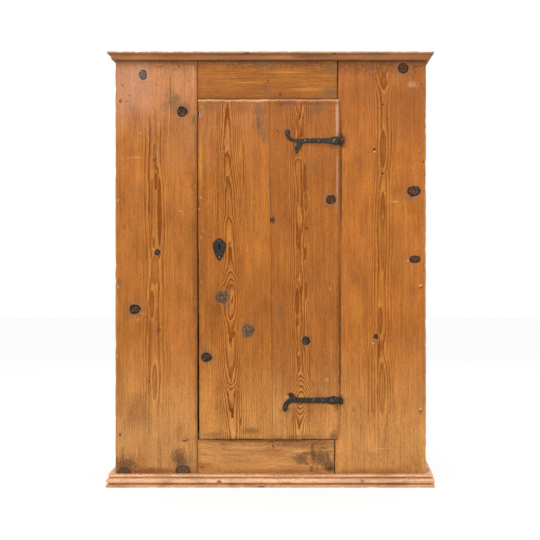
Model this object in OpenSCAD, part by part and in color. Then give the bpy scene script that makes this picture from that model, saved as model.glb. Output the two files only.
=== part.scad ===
// A tall pine cupboard with one ledged door on forged strap hinges.
// Millimetres. +Z is up, the front faces -Y, and +X is to the right as seen from the front.
// The origin is on the ground, under the middle of the whole cupboard.

/* [Carcass] */
// Width over the two side boards
carcass_w = 1224; // [1140:4:1400]
// Depth from the face of the front boards to the back
carcass_d = 468; // [420:4:600]
// Height from the ground to the top
cupboard_h = 1708; // [1640:4:1960]
// Thickness of the side boards
side_t = 26; // [22:1:34]
// Thickness of the front boards
front_t = 22; // [18:1:28]
// Thickness of the roof boards
roof_t = 22; // [16:1:30]
// Thickness of the floor boards
floor_t = 24; // [18:1:32]
// Thickness of the back boards
back_t = 12; // [8:1:16]
// Depth of the front board of a side, a roof or a floor, where two boards meet
first_board_d = 236; // [180:4:300]
// Gap left between neighbouring boards by shrinkage
board_gap = 0.6; // [0.2:0.1:1.5]

/* [Front boards] */
// Width of the left stile
left_stile_w = 323.6; // [280:2:360]
// Width of the right stile at its top
right_stile_top_w = 346; // [320:2:370]
// Width of the right stile at its foot
right_stile_foot_w = 359; // [330:2:380]
// Height of the header board
header_h = 161; // [120:1:200]
// Height of the bottom rail
bottom_rail_h = 182; // [150:1:230]
// Gap at the right end of the header and of the bottom rail
rail_end_gap = 3.2; // [1:0.2:6]

/* [Inside] */
// Height of the floor's top over the bottom rail
floor_rise = 25; // [18:1:40]
// Distance from one shelf's top to the next, as a share of the height inside
shelf_pitch_share = 0.24; // [0.2:0.01:0.26]
// Depth of a shelf
shelf_d = 346; // [260:2:350]
// Thickness of a shelf
shelf_t = 20; // [16:1:26]
// Height of a shelf cleat
cleat_h = 40; // [25:1:60]
// Thickness of a shelf cleat
cleat_t = 20; // [14:1:28]
// Thickness of the head stop behind the header
head_stop_t = 20; // [14:1:24]
// Height of the head stop
head_stop_h = 92; // [70:1:130]
// How far the head stop reaches down behind the door's top edge
head_stop_drop = 20; // [10:1:28]
// How far the head stop reaches behind each stile
head_stop_end = 60; // [40:2:90]

/* [Door] */
// Thickness of the door's planks
door_t = 28; // [24:1:34]
// How far the door's face stands in front of the stiles
door_proud = 7; // [3:0.5:10]
// Width of the left plank at its top
left_plank_top_w = 282; // [250:2:300]
// Width of the left plank at its foot
left_plank_foot_w = 290; // [250:2:310]
// Gap between the door and the left stile at the top
door_gap_left_top = 2.4; // [2:0.2:5]
// Gap between the door and the left stile at the foot
door_gap_left_foot = 7.4; // [3:0.2:10]
// Gap over the door
door_gap_top = 2; // [1:0.2:5]
// Gap under the door
door_gap_foot = 3; // [2:0.2:6]
// How far the door laps over the right stile at its top
door_lap_top = 6; // [3:0.5:9]
// How far the door laps over the right stile at its foot
door_lap_foot = 11.6; // [4:0.2:13]
// Gap between the back of the door's lap and the stile's face
lap_gap = 0.5; // [0.3:0.1:1.5]
// Gap between the rebated edge of the door and the right stile
door_edge_gap = 3; // [2:0.2:5]
// Thickness of the ledges across the back of the door
ledge_t = 22; // [16:1:28]
// Height of a ledge
ledge_h = 120; // [90:2:160]
// Distance from the door's edges to the ends of a ledge
ledge_inset = 22; // [14:1:50]

/* [Hinges] */
// Distance from the door's top edge down to the upper hinge strap's middle
upper_hinge_drop = 163; // [120:1:260]
// Distance from the door's foot up to the lower hinge strap's middle
lower_hinge_rise = 154; // [110:1:250]
// Thickness of the straps
strap_t = 4; // [3:0.5:5]
// Height of the straps' straight bar
strap_h = 20.5; // [16:0.5:26]
// Height of the straps' flared root
strap_root_h = 33; // [26:0.5:40]
// Length from the hinge axis to where the flared root ends
strap_root_length = 50; // [40:1:60]
// Length from the hinge axis to where the tail starts
strap_bar_length = 160; // [140:2:170]
// Length over which the bar narrows to the tail
tail_taper = 28; // [20:1:36]
// Radius of the curl of the upper strap's tail
upper_curl_r = 26; // [20:1:32]
// Radius of the curl of the lower strap's tail
lower_curl_r = 28; // [20:1:34]
// Width of the upper strap's tail
upper_tail_w = 14; // [10:0.5:18]
// Width of the lower strap's tail
lower_tail_w = 17; // [10:0.5:20]
// Radius of the round end of a tail
tail_end_r = 9.3; // [7:0.1:11]
// Straight length of the upper tail before its round end
upper_end_rise = 6; // [2:0.5:12]
// Straight length of the lower tail before its round end
lower_end_rise = 5; // [2:0.5:12]
// Width of the leaf that hangs from the upper strap
leaf_w = 36; // [30:1:42]
// Height of that leaf
leaf_h = 53; // [44:1:62]
// Radius of the bud that stands on the lower strap
bud_r = 9; // [7:0.5:11]
// Radius of the hinge pins
pin_r = 3.45; // [2.5:0.05:4.5]
// Radial running clearance of the pins in the eyes
pin_clearance = 0.05; // [0.03:0.01:0.08]
// Wall of a hinge eye round its pin
eye_wall = 4; // [2.5:0.1:5]
// Height of a hinge eye
eye_h = 14; // [10:0.5:20]
// Free height of the upper pin over its eye
upper_pin_stand = 26; // [4:1:34]
// Free height of the lower pin over its eye
lower_pin_stand = 5; // [2:1:20]
// Side of the square shank of a pintle
shank_a = 9; // [7:0.5:12]
// How far a pintle's shank is driven into the stile
shank_depth = 19; // [12:1:21]
// Gap between a hinge eye and the pintle's shoulder
seat_gap = 0.3; // [0.2:0.1:0.6]
// Gap between a hinge eye and the door's edge
eye_gap = 0.3; // [0.2:0.1:2]

/* [Lock] */
// Distance from the door's left edge, half way up, to the keyhole
keyhole_inset = 81.8; // [72:0.2:84]
// Height of the keyhole's round head, as a share of the door's height
keyhole_share = 0.571; // [0.5:0.001:0.62]
// Distance from the keyhole's round head down to its round foot
keyhole_drop = 11.3; // [10:0.1:13]
// Width of the keyhole's slot
keyhole_slot_w = 5; // [4.8:0.1:6]
// Thickness of the escutcheon
escutcheon_t = 2.5; // [1.5:0.1:4]
// Height of the escutcheon from its top edge to its point
escutcheon_h = 87; // [76:1:98]
// Width of the escutcheon
escutcheon_w = 51; // [44:1:58]
// Width of the lock case
lock_w = 100; // [96:1:106]
// Height of the lock case
lock_h = 92; // [86:1:110]
// Depth of the lock case
lock_d = 22; // [20:1:26]
// Wall of the lock case
lock_wall = 2.5; // [2:0.1:3]
// Thickness of the lock's cover
cover_t = 2; // [1.5:0.1:3]
// Height of the bolt
bolt_h = 16; // [12:0.5:18]
// Thickness of the bolt
bolt_t = 8; // [6:0.5:10]
// Travel of the bolt
bolt_throw = 16; // [15:0.5:18]
// Running gap round the bolt
bolt_gap = 0.4; // [0.3:0.1:0.8]
// Distance from the door's left edge to the lock case
lock_inset = 3; // [2:0.5:5]
// Distance from the lock case's foot up to the keyhole's round head
lock_keyhole_rise = 56; // [50:1:60]
// How far the withdrawn bolt stands out of the lock case
bolt_stand = 2.5; // [1:0.5:2.5]
// Depth of the keep behind the left stile
keep_d = 18; // [16:1:22]
// Height of each flange of the keep
keep_flange_h = 18; // [14:1:24]
// Thickness of the keep's flanges
keep_flange_t = 3; // [2:0.5:4]
// Wall of the keep round the bolt
keep_wall = 3; // [2:0.5:4]

/* [Mouldings] */
// Projection of the base moulding
base_projection = 32; // [28:1:40]
// Height of the base moulding
base_h = 46; // [42:1:56]
// Height of the base moulding's lower fillet
base_fillet_h = 13; // [10:0.5:15]
// Radius of the base moulding's torus
torus_r = 8.25; // [7:0.25:9]
// Projection of the cornice
cornice_projection = 28; // [24:1:32]
// Height of the cornice
cornice_h = 28; // [25:1:34]
// Height of the cornice's upper fillet
cornice_fillet_h = 9; // [7:0.5:12]

/* [Nails] */
// Radius of a frame nail's head
frame_nail_head_r = 4; // [3:0.25:5]
// Radius of a nail's shank
nail_r = 2.25; // [1.5:0.25:2.5]
// Radial clearance of a nail in its hole
nail_clearance = 0.05; // [0.03:0.01:0.1]
// Radius of a strap nail's head
strap_nail_head_r = 4; // [3:0.25:5]
// Radius of the large head at the root of the upper strap
root_nail_head_r = 6.5; // [5:0.25:7.5]

/* [Hidden] */
$fn = 64;

// How far a cut runs past the face that it opens
past = 1;

// Heights and depths that follow from the sizes above
half_w = carcass_w / 2;
face_y = base_projection / 2 - carcass_d / 2;
back_y = face_y + carcass_d;
front_back_y = face_y + front_t;
inner_x = half_w - side_t;
carcass_top = cupboard_h - roof_t;
opening_left_x = left_stile_w - half_w;
back_rebate = side_t / 2;

// The door's outline, whose long edges all lean a little
door_front_y = face_y - door_proud;
door_back_y = door_front_y + door_t;
door_foot_z = bottom_rail_h + door_gap_foot;
door_head_z = carcass_top - header_h - door_gap_top;
upper_hinge_z = door_head_z - upper_hinge_drop;
lower_hinge_z = door_foot_z + lower_hinge_rise;
keyhole_z = door_foot_z + keyhole_share * (door_head_z - door_foot_z);

// Tops of the floor and of the shelves
floor_top_z = bottom_rail_h + floor_rise;
shelf_pitch = shelf_pitch_share * (carcass_top - floor_top_z);
lower_shelf_z = floor_top_z + shelf_pitch;
middle_shelf_z = lower_shelf_z + shelf_pitch;
upper_shelf_z = middle_shelf_z + shelf_pitch;

function between(z0, v0, z1, v1, z) = v0 + (v1 - v0) * (z - z0) / (z1 - z0);
function stile_edge_x(z) =
    half_w - between(0, right_stile_foot_w, carcass_top, right_stile_top_w, z);
function over_door(foot, head, z) = between(door_foot_z, foot, door_head_z, head, z);
function door_left_x(z) =
    opening_left_x + over_door(door_gap_left_foot, door_gap_left_top, z);
function door_joint_x(z) =
    door_left_x(z) + over_door(left_plank_foot_w, left_plank_top_w, z);
function door_right_x(z) = stile_edge_x(z) + over_door(door_lap_foot, door_lap_top, z);
function door_shoulder_x(z) = stile_edge_x(z) - door_edge_gap;

// Hinges
eye_r = pin_r + pin_clearance + eye_wall;
hinge_x = door_right_x(door_head_z) + eye_r + eye_gap;
hinge_y = door_front_y - eye_r;

// Places of each strap's nails, as shares of the way from the hinge axis to the tail
upper_strap_nails = [0.188, 0.569, 0.894];
lower_strap_nails = [0.238, 0.456, 0.681];

// Lock
keyhole_x = door_left_x((door_foot_z + door_head_z) / 2) + keyhole_inset;
keyhole_head_r = 0.75 * keyhole_slot_w;
keyhole_foot_r = 0.85 * keyhole_slot_w;
lock_left_x = door_left_x(keyhole_z) + lock_inset;
lock_foot_z = keyhole_z - lock_keyhole_rise;
lock_back_y = door_back_y + lock_d;
bolt_x = lock_left_x - bolt_stand;
bolt_y = door_back_y + 0.75 * bolt_t;
bolt_z = keyhole_z + bolt_h / 2;
bolt_length = lock_w - bolt_h / 2;
keep_inset = 2.6;
keep_x = opening_left_x - keep_inset;
keep_w = bolt_throw + bolt_h / 2;
keep_hood_h = 1.875 * bolt_h;
keep_hood_z = bolt_z + bolt_h / 2 - keep_hood_h / 2;
lug_h = 12;

// Heights of the nails down each outer edge of the front boards
left_frame_nails = [0.12, 0.38, 0.65, 0.9];
right_frame_nails = [0.175, 0.465, 0.78, 0.94];
frame_nail_inset = 18;
frame_nail_head_h = 0.8;
frame_nail_grip = 34;
frame_nail_length = front_t + frame_nail_grip;

back_board_count = 5;
back_board_w = (carcass_w - 2 * (side_t - back_rebate)) / back_board_count;

// A box given by its lowest and its highest corner
module block(low, high) {
    translate(low)
        cube(high - low);
}

// A board of thickness t whose front face, at y, has the given outline in X and Z
module upright_board(outline, y, t) {
    translate([0, y + t, 0])
        rotate([90, 0, 0])
            linear_extrude(t)
                polygon(outline);
}

// A shape on a face that looks towards -Y, raised by t from y
module raised(x, y, z, t) {
    translate([x, y, z])
        rotate([90, 0, 0])
            linear_extrude(t)
                children();
}

// A round bar along Y, from y0 to y1
module bar_y(x, z, y0, y1, r) {
    translate([x, y1, z])
        rotate([90, 0, 0])
            cylinder(h = y1 - y0, r = r);
}

// A forged nail driven towards +Y: a low faceted head, then its shank
module nail(x, y, z, head_r, head_h, length) {
    translate([x, y, z])
        rotate([90, 0, 0])
            cylinder(h = head_h, r1 = head_r, r2 = head_r * 0.55);
    bar_y(x, z, y, y + length, nail_r);
}

// A nail driven towards -Y, from the inside
module inside_nail(x, y, z, head_r, head_h, length) {
    translate([x, y, z])
        rotate([-90, 0, 0])
            cylinder(h = head_h, r1 = head_r, r2 = head_r * 0.55);
    bar_y(x, z, y - length, y, nail_r);
}

// The hole that a nail needs between two depths
module nail_hole(x, z, y0, y1) {
    bar_y(x, z, y0, y1, nail_r + nail_clearance);
}

// Places of the frame nails, as [x, z]
function frame_nail_places(side, heights) =
    [for (h = heights) [side * (half_w - frame_nail_inset), h * carcass_top]];
frame_nail_sites = concat(
    frame_nail_places(-1, left_frame_nails),
    frame_nail_places(1, right_frame_nails)
);

module frame_nail_holes() {
    for (site = frame_nail_sites)
        nail_hole(site[0], site[1], face_y - past, face_y + frame_nail_length + past);
}

// Sides, in two boards each. The rear board is rebated for the back.
module side_front_board(side) {
    color("peru")
        difference() {
            if (side < 0)
                block([-half_w, front_back_y, 0], [-inner_x, face_y + first_board_d, carcass_top]);
            else
                block([inner_x, front_back_y, 0], [half_w, face_y + first_board_d, carcass_top]);
            frame_nail_holes();
        }
}

module side_rear_board(side) {
    front = face_y + first_board_d + board_gap;
    rebate_x = inner_x + side_t - back_rebate;
    color("peru")
        if (side < 0)
            difference() {
                block([-half_w, front, 0], [-inner_x, back_y, carcass_top]);
                block(
                    [-rebate_x, back_y - back_t, -past],
                    [-inner_x + past, back_y + past, carcass_top + past]
                );
            }
        else
            difference() {
                block([inner_x, front, 0], [half_w, back_y, carcass_top]);
                block(
                    [inner_x - past, back_y - back_t, -past],
                    [rebate_x, back_y + past, carcass_top + past]
                );
            }
}

module left_side_front_board() side_front_board(-1);
module left_side_rear_board() side_rear_board(-1);
module right_side_front_board() side_front_board(1);
module right_side_rear_board() side_rear_board(1);

// Roof boards lie on the sides and on the front boards
module roof_front_board()
    color("sienna")
        block([-half_w, face_y, carcass_top], [half_w, face_y + first_board_d, cupboard_h]);

module roof_rear_board()
    color("sienna")
        block([-half_w, face_y + first_board_d + board_gap, carcass_top], [half_w, back_y, cupboard_h]);

// Floor boards run between the sides, behind the bottom rail and the door's foot
module floor_front_board()
    color("burlywood")
        block(
            [-inner_x, front_back_y, floor_top_z - floor_t],
            [inner_x, face_y + first_board_d, floor_top_z]
        );

module floor_rear_board()
    color("burlywood")
        block(
            [-inner_x, face_y + first_board_d + board_gap, floor_top_z - floor_t],
            [inner_x, back_y - back_t, floor_top_z]
        );

// Back boards stand side by side in the rebates
module back_board(index) {
    left = -half_w + side_t - back_rebate + index * back_board_w;
    color("tan")
        block(
            [left + board_gap / 2, back_y - back_t, 0],
            [left + back_board_w - board_gap / 2, back_y, carcass_top]
        );
}

module back_board_1() back_board(0);
module back_board_2() back_board(1);
module back_board_3() back_board(2);
module back_board_4() back_board(3);
module back_board_5() back_board(4);

// The four boards of the front
module left_stile()
    color("chocolate")
        difference() {
            block([-half_w, face_y, 0], [opening_left_x, front_back_y, carcass_top]);
            frame_nail_holes();
            keep_nail_holes();
        }

module right_stile()
    color("chocolate")
        difference() {
            upright_board(
                [
                    [stile_edge_x(0), 0],
                    [half_w, 0],
                    [half_w, carcass_top],
                    [stile_edge_x(carcass_top), carcass_top]
                ],
                face_y, front_t
            );
            frame_nail_holes();
            pintle_mortise(upper_hinge_z);
            pintle_mortise(lower_hinge_z);
        }

module header_board()
    color("peru") {
        foot_z = carcass_top - header_h;
        upright_board(
            [
                [opening_left_x + board_gap, foot_z],
                [stile_edge_x(foot_z) - rail_end_gap, foot_z],
                [stile_edge_x(carcass_top) - rail_end_gap, carcass_top],
                [opening_left_x + board_gap, carcass_top]
            ],
            face_y, front_t
        );
    }

module bottom_rail()
    color("peru")
        upright_board(
            [
                [opening_left_x + board_gap, 0],
                [stile_edge_x(0) - rail_end_gap, 0],
                [stile_edge_x(bottom_rail_h) - rail_end_gap, bottom_rail_h],
                [opening_left_x + board_gap, bottom_rail_h]
            ],
            face_y, front_t
        );

module head_stop() {
    foot_z = door_head_z - head_stop_drop;
    color("burlywood")
        block(
            [opening_left_x - head_stop_end, front_back_y, foot_z],
            [stile_edge_x(foot_z) + head_stop_end, front_back_y + head_stop_t, foot_z + head_stop_h]
        );
}

// Shelves rest on cleats nailed to the sides
module shelf(top_z)
    color("burlywood")
        block(
            [-inner_x + board_gap, back_y - back_t - shelf_d, top_z - shelf_t],
            [inner_x - board_gap, back_y - back_t, top_z]
        );

module cleat(side, top_z) {
    near = side < 0 ? -inner_x : inner_x - cleat_t;
    color("tan")
        block(
            [near, back_y - back_t - shelf_d, top_z - shelf_t - cleat_h],
            [near + cleat_t, back_y - back_t, top_z - shelf_t]
        );
}

module lower_shelf() shelf(lower_shelf_z);
module middle_shelf() shelf(middle_shelf_z);
module upper_shelf() shelf(upper_shelf_z);
module lower_left_cleat() cleat(-1, lower_shelf_z);
module lower_right_cleat() cleat(1, lower_shelf_z);
module middle_left_cleat() cleat(-1, middle_shelf_z);
module middle_right_cleat() cleat(1, middle_shelf_z);
module upper_left_cleat() cleat(-1, upper_shelf_z);
module upper_right_cleat() cleat(1, upper_shelf_z);

// Cornice section: u outwards from the carcass, v upwards. The cove is an arc from the
// upper fillet's nose to the foot.
cornice_foot_u = 8;
cornice_foot_v = 6;
cove_nose_inset = 2;
cove_centre_inset = 0.5;
cove_nose_u = cornice_projection - cove_nose_inset;
cove_nose_v = cornice_h - cornice_fillet_h;
cove_centre_u = cornice_projection - cove_centre_inset;
cove_centre_v =
    (pow(cove_centre_u - cove_nose_u, 2) - pow(cove_centre_u - cornice_foot_u, 2)
        + pow(cove_nose_v, 2) - pow(cornice_foot_v, 2)) / (2 * (cove_nose_v - cornice_foot_v));
cove_r = norm([cove_centre_u - cove_nose_u, cove_centre_v - cove_nose_v]);

module cornice_section()
    difference() {
        square([cornice_projection, cornice_h]);
        translate([cove_centre_u, cove_centre_v])
            circle(r = cove_r, $fn = 96);
        translate([cornice_foot_u, -past])
            square([cornice_projection, cornice_foot_v + past]);
    }

// Base moulding section: fillet, quirk, torus, quirk and a narrow top fillet
base_core_inset = 12;
base_core_u = base_projection - base_core_inset;
base_torus_u = base_projection - torus_r;
base_quirk_h = 5.5;
base_torus_v = base_fillet_h + base_quirk_h;
base_top_fillet_h = 5;
base_top_fillet_w = 5;

module base_section() {
    square([base_core_u, base_h]);
    square([base_projection, base_fillet_h]);
    square([base_torus_u, base_torus_v]);
    translate([0, base_torus_v])
        square([base_torus_u, 2 * torus_r]);
    translate([base_torus_u, base_torus_v + torus_r])
        circle(r = torus_r);
    translate([0, base_h - base_top_fillet_h])
        square([base_core_u + base_top_fillet_w, base_top_fillet_h]);
}

// The plan of a front length, mitred at both corners, and of a return
module front_plan(reach)
    polygon([
        [-half_w, face_y],
        [half_w, face_y],
        [half_w + reach, face_y - reach],
        [-half_w - reach, face_y - reach]
    ]);

module return_plan(side, reach)
    polygon([
        [side * half_w, face_y],
        [side * (half_w + reach), face_y - reach],
        [side * (half_w + reach), back_y],
        [side * half_w, back_y]
    ]);

// A length of moulding: the child is its section. side is 0 for the front length.
module moulding(side, z, h, reach) {
    run = side == 0 ? carcass_w + 4 * reach : 2 * (carcass_d + reach);
    intersection() {
        translate([side * half_w, face_y, z])
            rotate([90, 0, side == 0 ? -90 : side < 0 ? 180 : 0])
                linear_extrude(run, center = true)
                    children();
        translate([0, 0, z - past])
            linear_extrude(h + 2 * past)
                if (side == 0)
                    front_plan(reach);
                else
                    return_plan(side, reach);
    }
}

module cornice(side)
    color("saddlebrown")
        moulding(side, cupboard_h - cornice_h, cornice_h, cornice_projection + past)
            cornice_section();

module base_moulding(side)
    color("sandybrown")
        moulding(side, 0, base_h, base_projection + past)
            base_section();

module cornice_front() cornice(0);
module cornice_left() cornice(-1);
module cornice_right() cornice(1);
module base_moulding_front() base_moulding(0);
module base_moulding_left() base_moulding(-1);
module base_moulding_right() base_moulding(1);

module frame_nails()
    color("dimgray")
        for (site = frame_nail_sites)
            nail(
                site[0], face_y, site[1], frame_nail_head_r, frame_nail_head_h,
                frame_nail_length
            );

// Pintles: a square shank driven into the stile, a shoulder and the pin
pintle_shoulder_inset = 1;

function shank_top_z(hinge_z) = hinge_z - eye_h / 2 - seat_gap;

module shank(hinge_z, a, y0)
    block(
        [hinge_x - a / 2, y0, shank_top_z(hinge_z) - shank_a / 2 - a / 2],
        [hinge_x + a / 2, face_y + shank_depth, shank_top_z(hinge_z) - shank_a / 2 + a / 2]
    );

module pintle_mortise(hinge_z)
    shank(hinge_z, shank_a + 2 * nail_clearance, face_y - past);

module pintle(hinge_z, pin_stand)
    color("dimgray") {
        shank(hinge_z, shank_a, hinge_y);
        translate([hinge_x, hinge_y, shank_top_z(hinge_z) - shank_a])
            cylinder(h = shank_a, r = eye_r - pintle_shoulder_inset);
        translate([hinge_x, hinge_y, shank_top_z(hinge_z) - past])
            cylinder(h = past + seat_gap + eye_h + pin_stand, r = pin_r);
    }

module upper_pintle() pintle(upper_hinge_z, upper_pin_stand);
module lower_pintle() pintle(lower_hinge_z, lower_pin_stand);

// The door's planks. The right plank is rebated so that it laps over the stile.
module door_left_plank()
    color("darkorange")
        difference() {
            upright_board(
                [
                    [door_left_x(door_foot_z), door_foot_z],
                    [door_joint_x(door_foot_z) - board_gap / 2, door_foot_z],
                    [door_joint_x(door_head_z) - board_gap / 2, door_head_z],
                    [door_left_x(door_head_z), door_head_z]
                ],
                door_front_y, door_t
            );
            keyhole_cut(door_front_y - past, door_back_y + past);
            ledge_nail_holes();
            lock_nail_holes();
            escutcheon_nail_holes();
        }

module door_right_plank()
    color("orange")
        difference() {
            union() {
                upright_board(
                    [
                        [door_joint_x(door_foot_z) + board_gap / 2, door_foot_z],
                        [door_right_x(door_foot_z), door_foot_z],
                        [door_right_x(door_head_z), door_head_z],
                        [door_joint_x(door_head_z) + board_gap / 2, door_head_z]
                    ],
                    door_front_y, door_proud - lap_gap
                );
                upright_board(
                    [
                        [door_joint_x(door_foot_z) + board_gap / 2, door_foot_z],
                        [door_shoulder_x(door_foot_z), door_foot_z],
                        [door_shoulder_x(door_head_z), door_head_z],
                        [door_joint_x(door_head_z) + board_gap / 2, door_head_z]
                    ],
                    door_front_y, door_t
                );
            }
            ledge_nail_holes();
            strap_nail_holes();
        }

module ledge(hinge_z) {
    left = door_left_x(hinge_z) + ledge_inset;
    right = door_shoulder_x(hinge_z) - ledge_inset;
    color("burlywood")
        difference() {
            block(
                [left, door_back_y, hinge_z - ledge_h / 2],
                [right, door_back_y + ledge_t, hinge_z + ledge_h / 2]
            );
            ledge_nail_holes();
            strap_nail_holes();
        }
}

module door_upper_ledge() ledge(upper_hinge_z);
module door_lower_ledge() ledge(lower_hinge_z);

// Ledge nails are driven from the inside and stop short of the door's face
ledge_nail_end_inset = 34;
ledge_nail_tip_cover = 6;
ledge_nail_head_r = 4.5;
ledge_nail_head_h = 1.6;

function ledge_nail_sites(hinge_z) =
    let (
        left = door_left_x(hinge_z) + ledge_inset + ledge_nail_end_inset,
        joint = door_joint_x(hinge_z)
    )
    [
        for (x = [left, joint - ledge_nail_end_inset, joint + ledge_nail_end_inset])
            for (side = [-1, 1])
                [x, hinge_z + side * ledge_h / 4]
    ];
all_ledge_nail_sites = concat(ledge_nail_sites(upper_hinge_z), ledge_nail_sites(lower_hinge_z));
ledge_nail_length = ledge_t + door_t - ledge_nail_tip_cover;

module ledge_nail_holes()
    for (site = all_ledge_nail_sites)
        nail_hole(
            site[0], site[1],
            door_front_y + ledge_nail_tip_cover - nail_clearance, door_back_y + ledge_t + past
        );

module ledge_nails()
    color("dimgray")
        for (site = all_ledge_nail_sites)
            inside_nail(
                site[0], door_back_y + ledge_t, site[1], ledge_nail_head_r,
                ledge_nail_head_h, ledge_nail_length
            );

// Strap outlines: u from the hinge axis towards the tail, v upwards from the bar's middle
function arc(centre, r, a0, a1, steps) =
    [for (i = [0:steps]) centre + r * [cos(a0 + (a1 - a0) * i / steps), sin(a0 + (a1 - a0) * i / steps)]];

// The upper edge of a strap: shares of the root's length, and of the rise to its widest place
// from the neck and then from the bar
root_rise = [[0, 0], [0.16, 0], [0.28, 0.58], [0.4, 1], [0.6, 1]];
root_fall = [[0.8, 0.32], [1, 0]];

function strap_edge(side) = [
    for (p = root_rise)
        [p[0] * strap_root_length, side * between(0, eye_h / 2, 1, strap_root_h / 2, p[1])],
    for (p = root_fall)
        [p[0] * strap_root_length, side * between(0, strap_h / 2, 1, strap_root_h / 2, p[1])],
    [strap_bar_length, side * strap_h / 2]
];

module strap_bar() {
    lower_edge = strap_edge(-1);
    polygon(concat(
        strap_edge(1),
        [for (i = [len(lower_edge) - 1:-1:0]) lower_edge[i]]
    ));
}

// A tail that curls to one side: turn is 1 for up and -1 for down
quarter_turn = 90;

module curled_tail(turn, curl_r, tail_w, end_rise) {
    start = strap_bar_length + tail_taper;
    centre = [start, turn * curl_r];
    polygon([
        [strap_bar_length - past, strap_h / 2],
        [start, tail_w / 2],
        [start, -tail_w / 2],
        [strap_bar_length - past, -strap_h / 2]
    ]);
    polygon(concat(
        arc(centre, curl_r + tail_w / 2, -turn * quarter_turn, 0, 12),
        arc(centre, curl_r - tail_w / 2, 0, -turn * quarter_turn, 12)
    ));
    translate([start + curl_r - tail_w / 2, turn > 0 ? curl_r : -curl_r - end_rise])
        square([tail_w, end_rise]);
    translate([start + curl_r, turn * (curl_r + end_rise)])
        circle(r = tail_end_r);
}

// The leaf that hangs from the upper strap, in shares of its width and of its height
leaf_inset = 12;
leaf_outline = [
    [0, -0.156], [0.333, -0.264], [0.472, -0.415], [0.528, -0.604], [0.611, -0.755],
    [0.75, -0.868], [0.778, -1], [0.833, -1], [0.861, -0.849], [1, -0.66], [1, -0.491],
    [0.917, -0.321], [0.75, -0.132], [0.556, 0.038], [0.111, 0.038]
];

module leaf()
    translate([strap_bar_length - leaf_inset, 0])
        polygon([for (p = leaf_outline) [p[0] * leaf_w, p[1] * leaf_h]]);

// The bud that stands on the lower strap, in shares of its radius
bud_stem = [[2, 0.44], [3.11, 1.56], [4.67, 1.56], [3.33, 0.22]];
bud_centre = [3.89, 2.22];

module bud()
    translate([strap_bar_length, 0]) {
        polygon([for (p = bud_stem) p * bud_r]);
        translate(bud_centre * bud_r)
            circle(r = bud_r);
    }

module strap_plate(hinge_z)
    raised(hinge_x, door_front_y, hinge_z, strap_t)
        mirror([1, 0])
            children();

module eye(hinge_z)
    translate([hinge_x, hinge_y, hinge_z - eye_h / 2])
        cylinder(h = eye_h, r = eye_r);

module eye_bore(hinge_z)
    translate([hinge_x, hinge_y, hinge_z - eye_h])
        cylinder(h = 2 * eye_h, r = pin_r + pin_clearance);

module upper_hinge_strap()
    color("darkslategray")
        difference() {
            union() {
                strap_plate(upper_hinge_z) {
                    strap_bar();
                    curled_tail(1, upper_curl_r, upper_tail_w, upper_end_rise);
                    leaf();
                }
                eye(upper_hinge_z);
            }
            eye_bore(upper_hinge_z);
            strap_nail_holes();
        }

module lower_hinge_strap()
    color("darkslategray")
        difference() {
            union() {
                strap_plate(lower_hinge_z) {
                    strap_bar();
                    curled_tail(-1, lower_curl_r, lower_tail_w, lower_end_rise);
                    bud();
                }
                eye(lower_hinge_z);
            }
            eye_bore(lower_hinge_z);
            strap_nail_holes();
        }

strap_nail_clench = 3;
strap_nail_length = strap_t + door_t + ledge_t + strap_nail_clench;
strap_nail_head_h = 2.2;
upper_strap_head_r = [root_nail_head_r, strap_nail_head_r, strap_nail_head_r];
lower_strap_head_r = [strap_nail_head_r, strap_nail_head_r, strap_nail_head_r];

module strap_nail_hole(share, hinge_z)
    nail_hole(
        hinge_x - share * strap_bar_length, hinge_z,
        door_front_y - strap_t - past, door_back_y + ledge_t + past
    );

module strap_nail_holes() {
    for (share = upper_strap_nails)
        strap_nail_hole(share, upper_hinge_z);
    for (share = lower_strap_nails)
        strap_nail_hole(share, lower_hinge_z);
}

module strap_nails(hinge_z, shares, head_r)
    color("dimgray")
        for (i = [0:len(shares) - 1])
            nail(
                hinge_x - shares[i] * strap_bar_length, door_front_y - strap_t, hinge_z,
                head_r[i], strap_nail_head_h, strap_nail_length
            );

module upper_hinge_nails() strap_nails(upper_hinge_z, upper_strap_nails, upper_strap_head_r);
module lower_hinge_nails() strap_nails(lower_hinge_z, lower_strap_nails, lower_strap_head_r);

// The keyhole: a round head, a slot and a round foot
module keyhole() {
    circle(r = keyhole_head_r);
    translate([0, -keyhole_drop])
        circle(r = keyhole_foot_r);
    translate([-keyhole_slot_w / 2, -keyhole_drop])
        square([keyhole_slot_w, keyhole_drop]);
}

module keyhole_cut(y0, y1)
    raised(keyhole_x, y1, keyhole_z, y1 - y0)
        keyhole();

// The escutcheon's outline is a shield: its right half from the top to the point, then its
// left half back up. The points are shares of its half width and of its height.
escutcheon_half = [
    [0.16, 0.28], [0.34, 0.2], [0.58, 0.152], [0.92, 0.135], [0.99, 0.05], [1, -0.06],
    [0.95, -0.19], [0.8, -0.345], [0.55, -0.52], [0.28, -0.65]
];

function escutcheon_side(side) =
    [for (p = escutcheon_half) [side * p[0] * escutcheon_w / 2, p[1] * escutcheon_h]];

module escutcheon_outline() {
    left = escutcheon_side(-1);
    polygon(concat(
        escutcheon_side(1),
        [[0, -0.72 * escutcheon_h]],
        [for (i = [len(left) - 1:-1:0]) left[i]]
    ));
}

escutcheon_nail_sites = [
    [keyhole_x, keyhole_z + 0.19 * escutcheon_h],
    [keyhole_x, keyhole_z - 0.55 * escutcheon_h]
];
escutcheon_nail_length = 18;
escutcheon_nail_head_r = 3.4;
escutcheon_nail_head_h = 1.2;

module escutcheon_nail_holes()
    for (site = escutcheon_nail_sites)
        nail_hole(
            site[0], site[1],
            door_front_y - escutcheon_t - past, door_front_y + escutcheon_nail_length
        );

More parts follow.
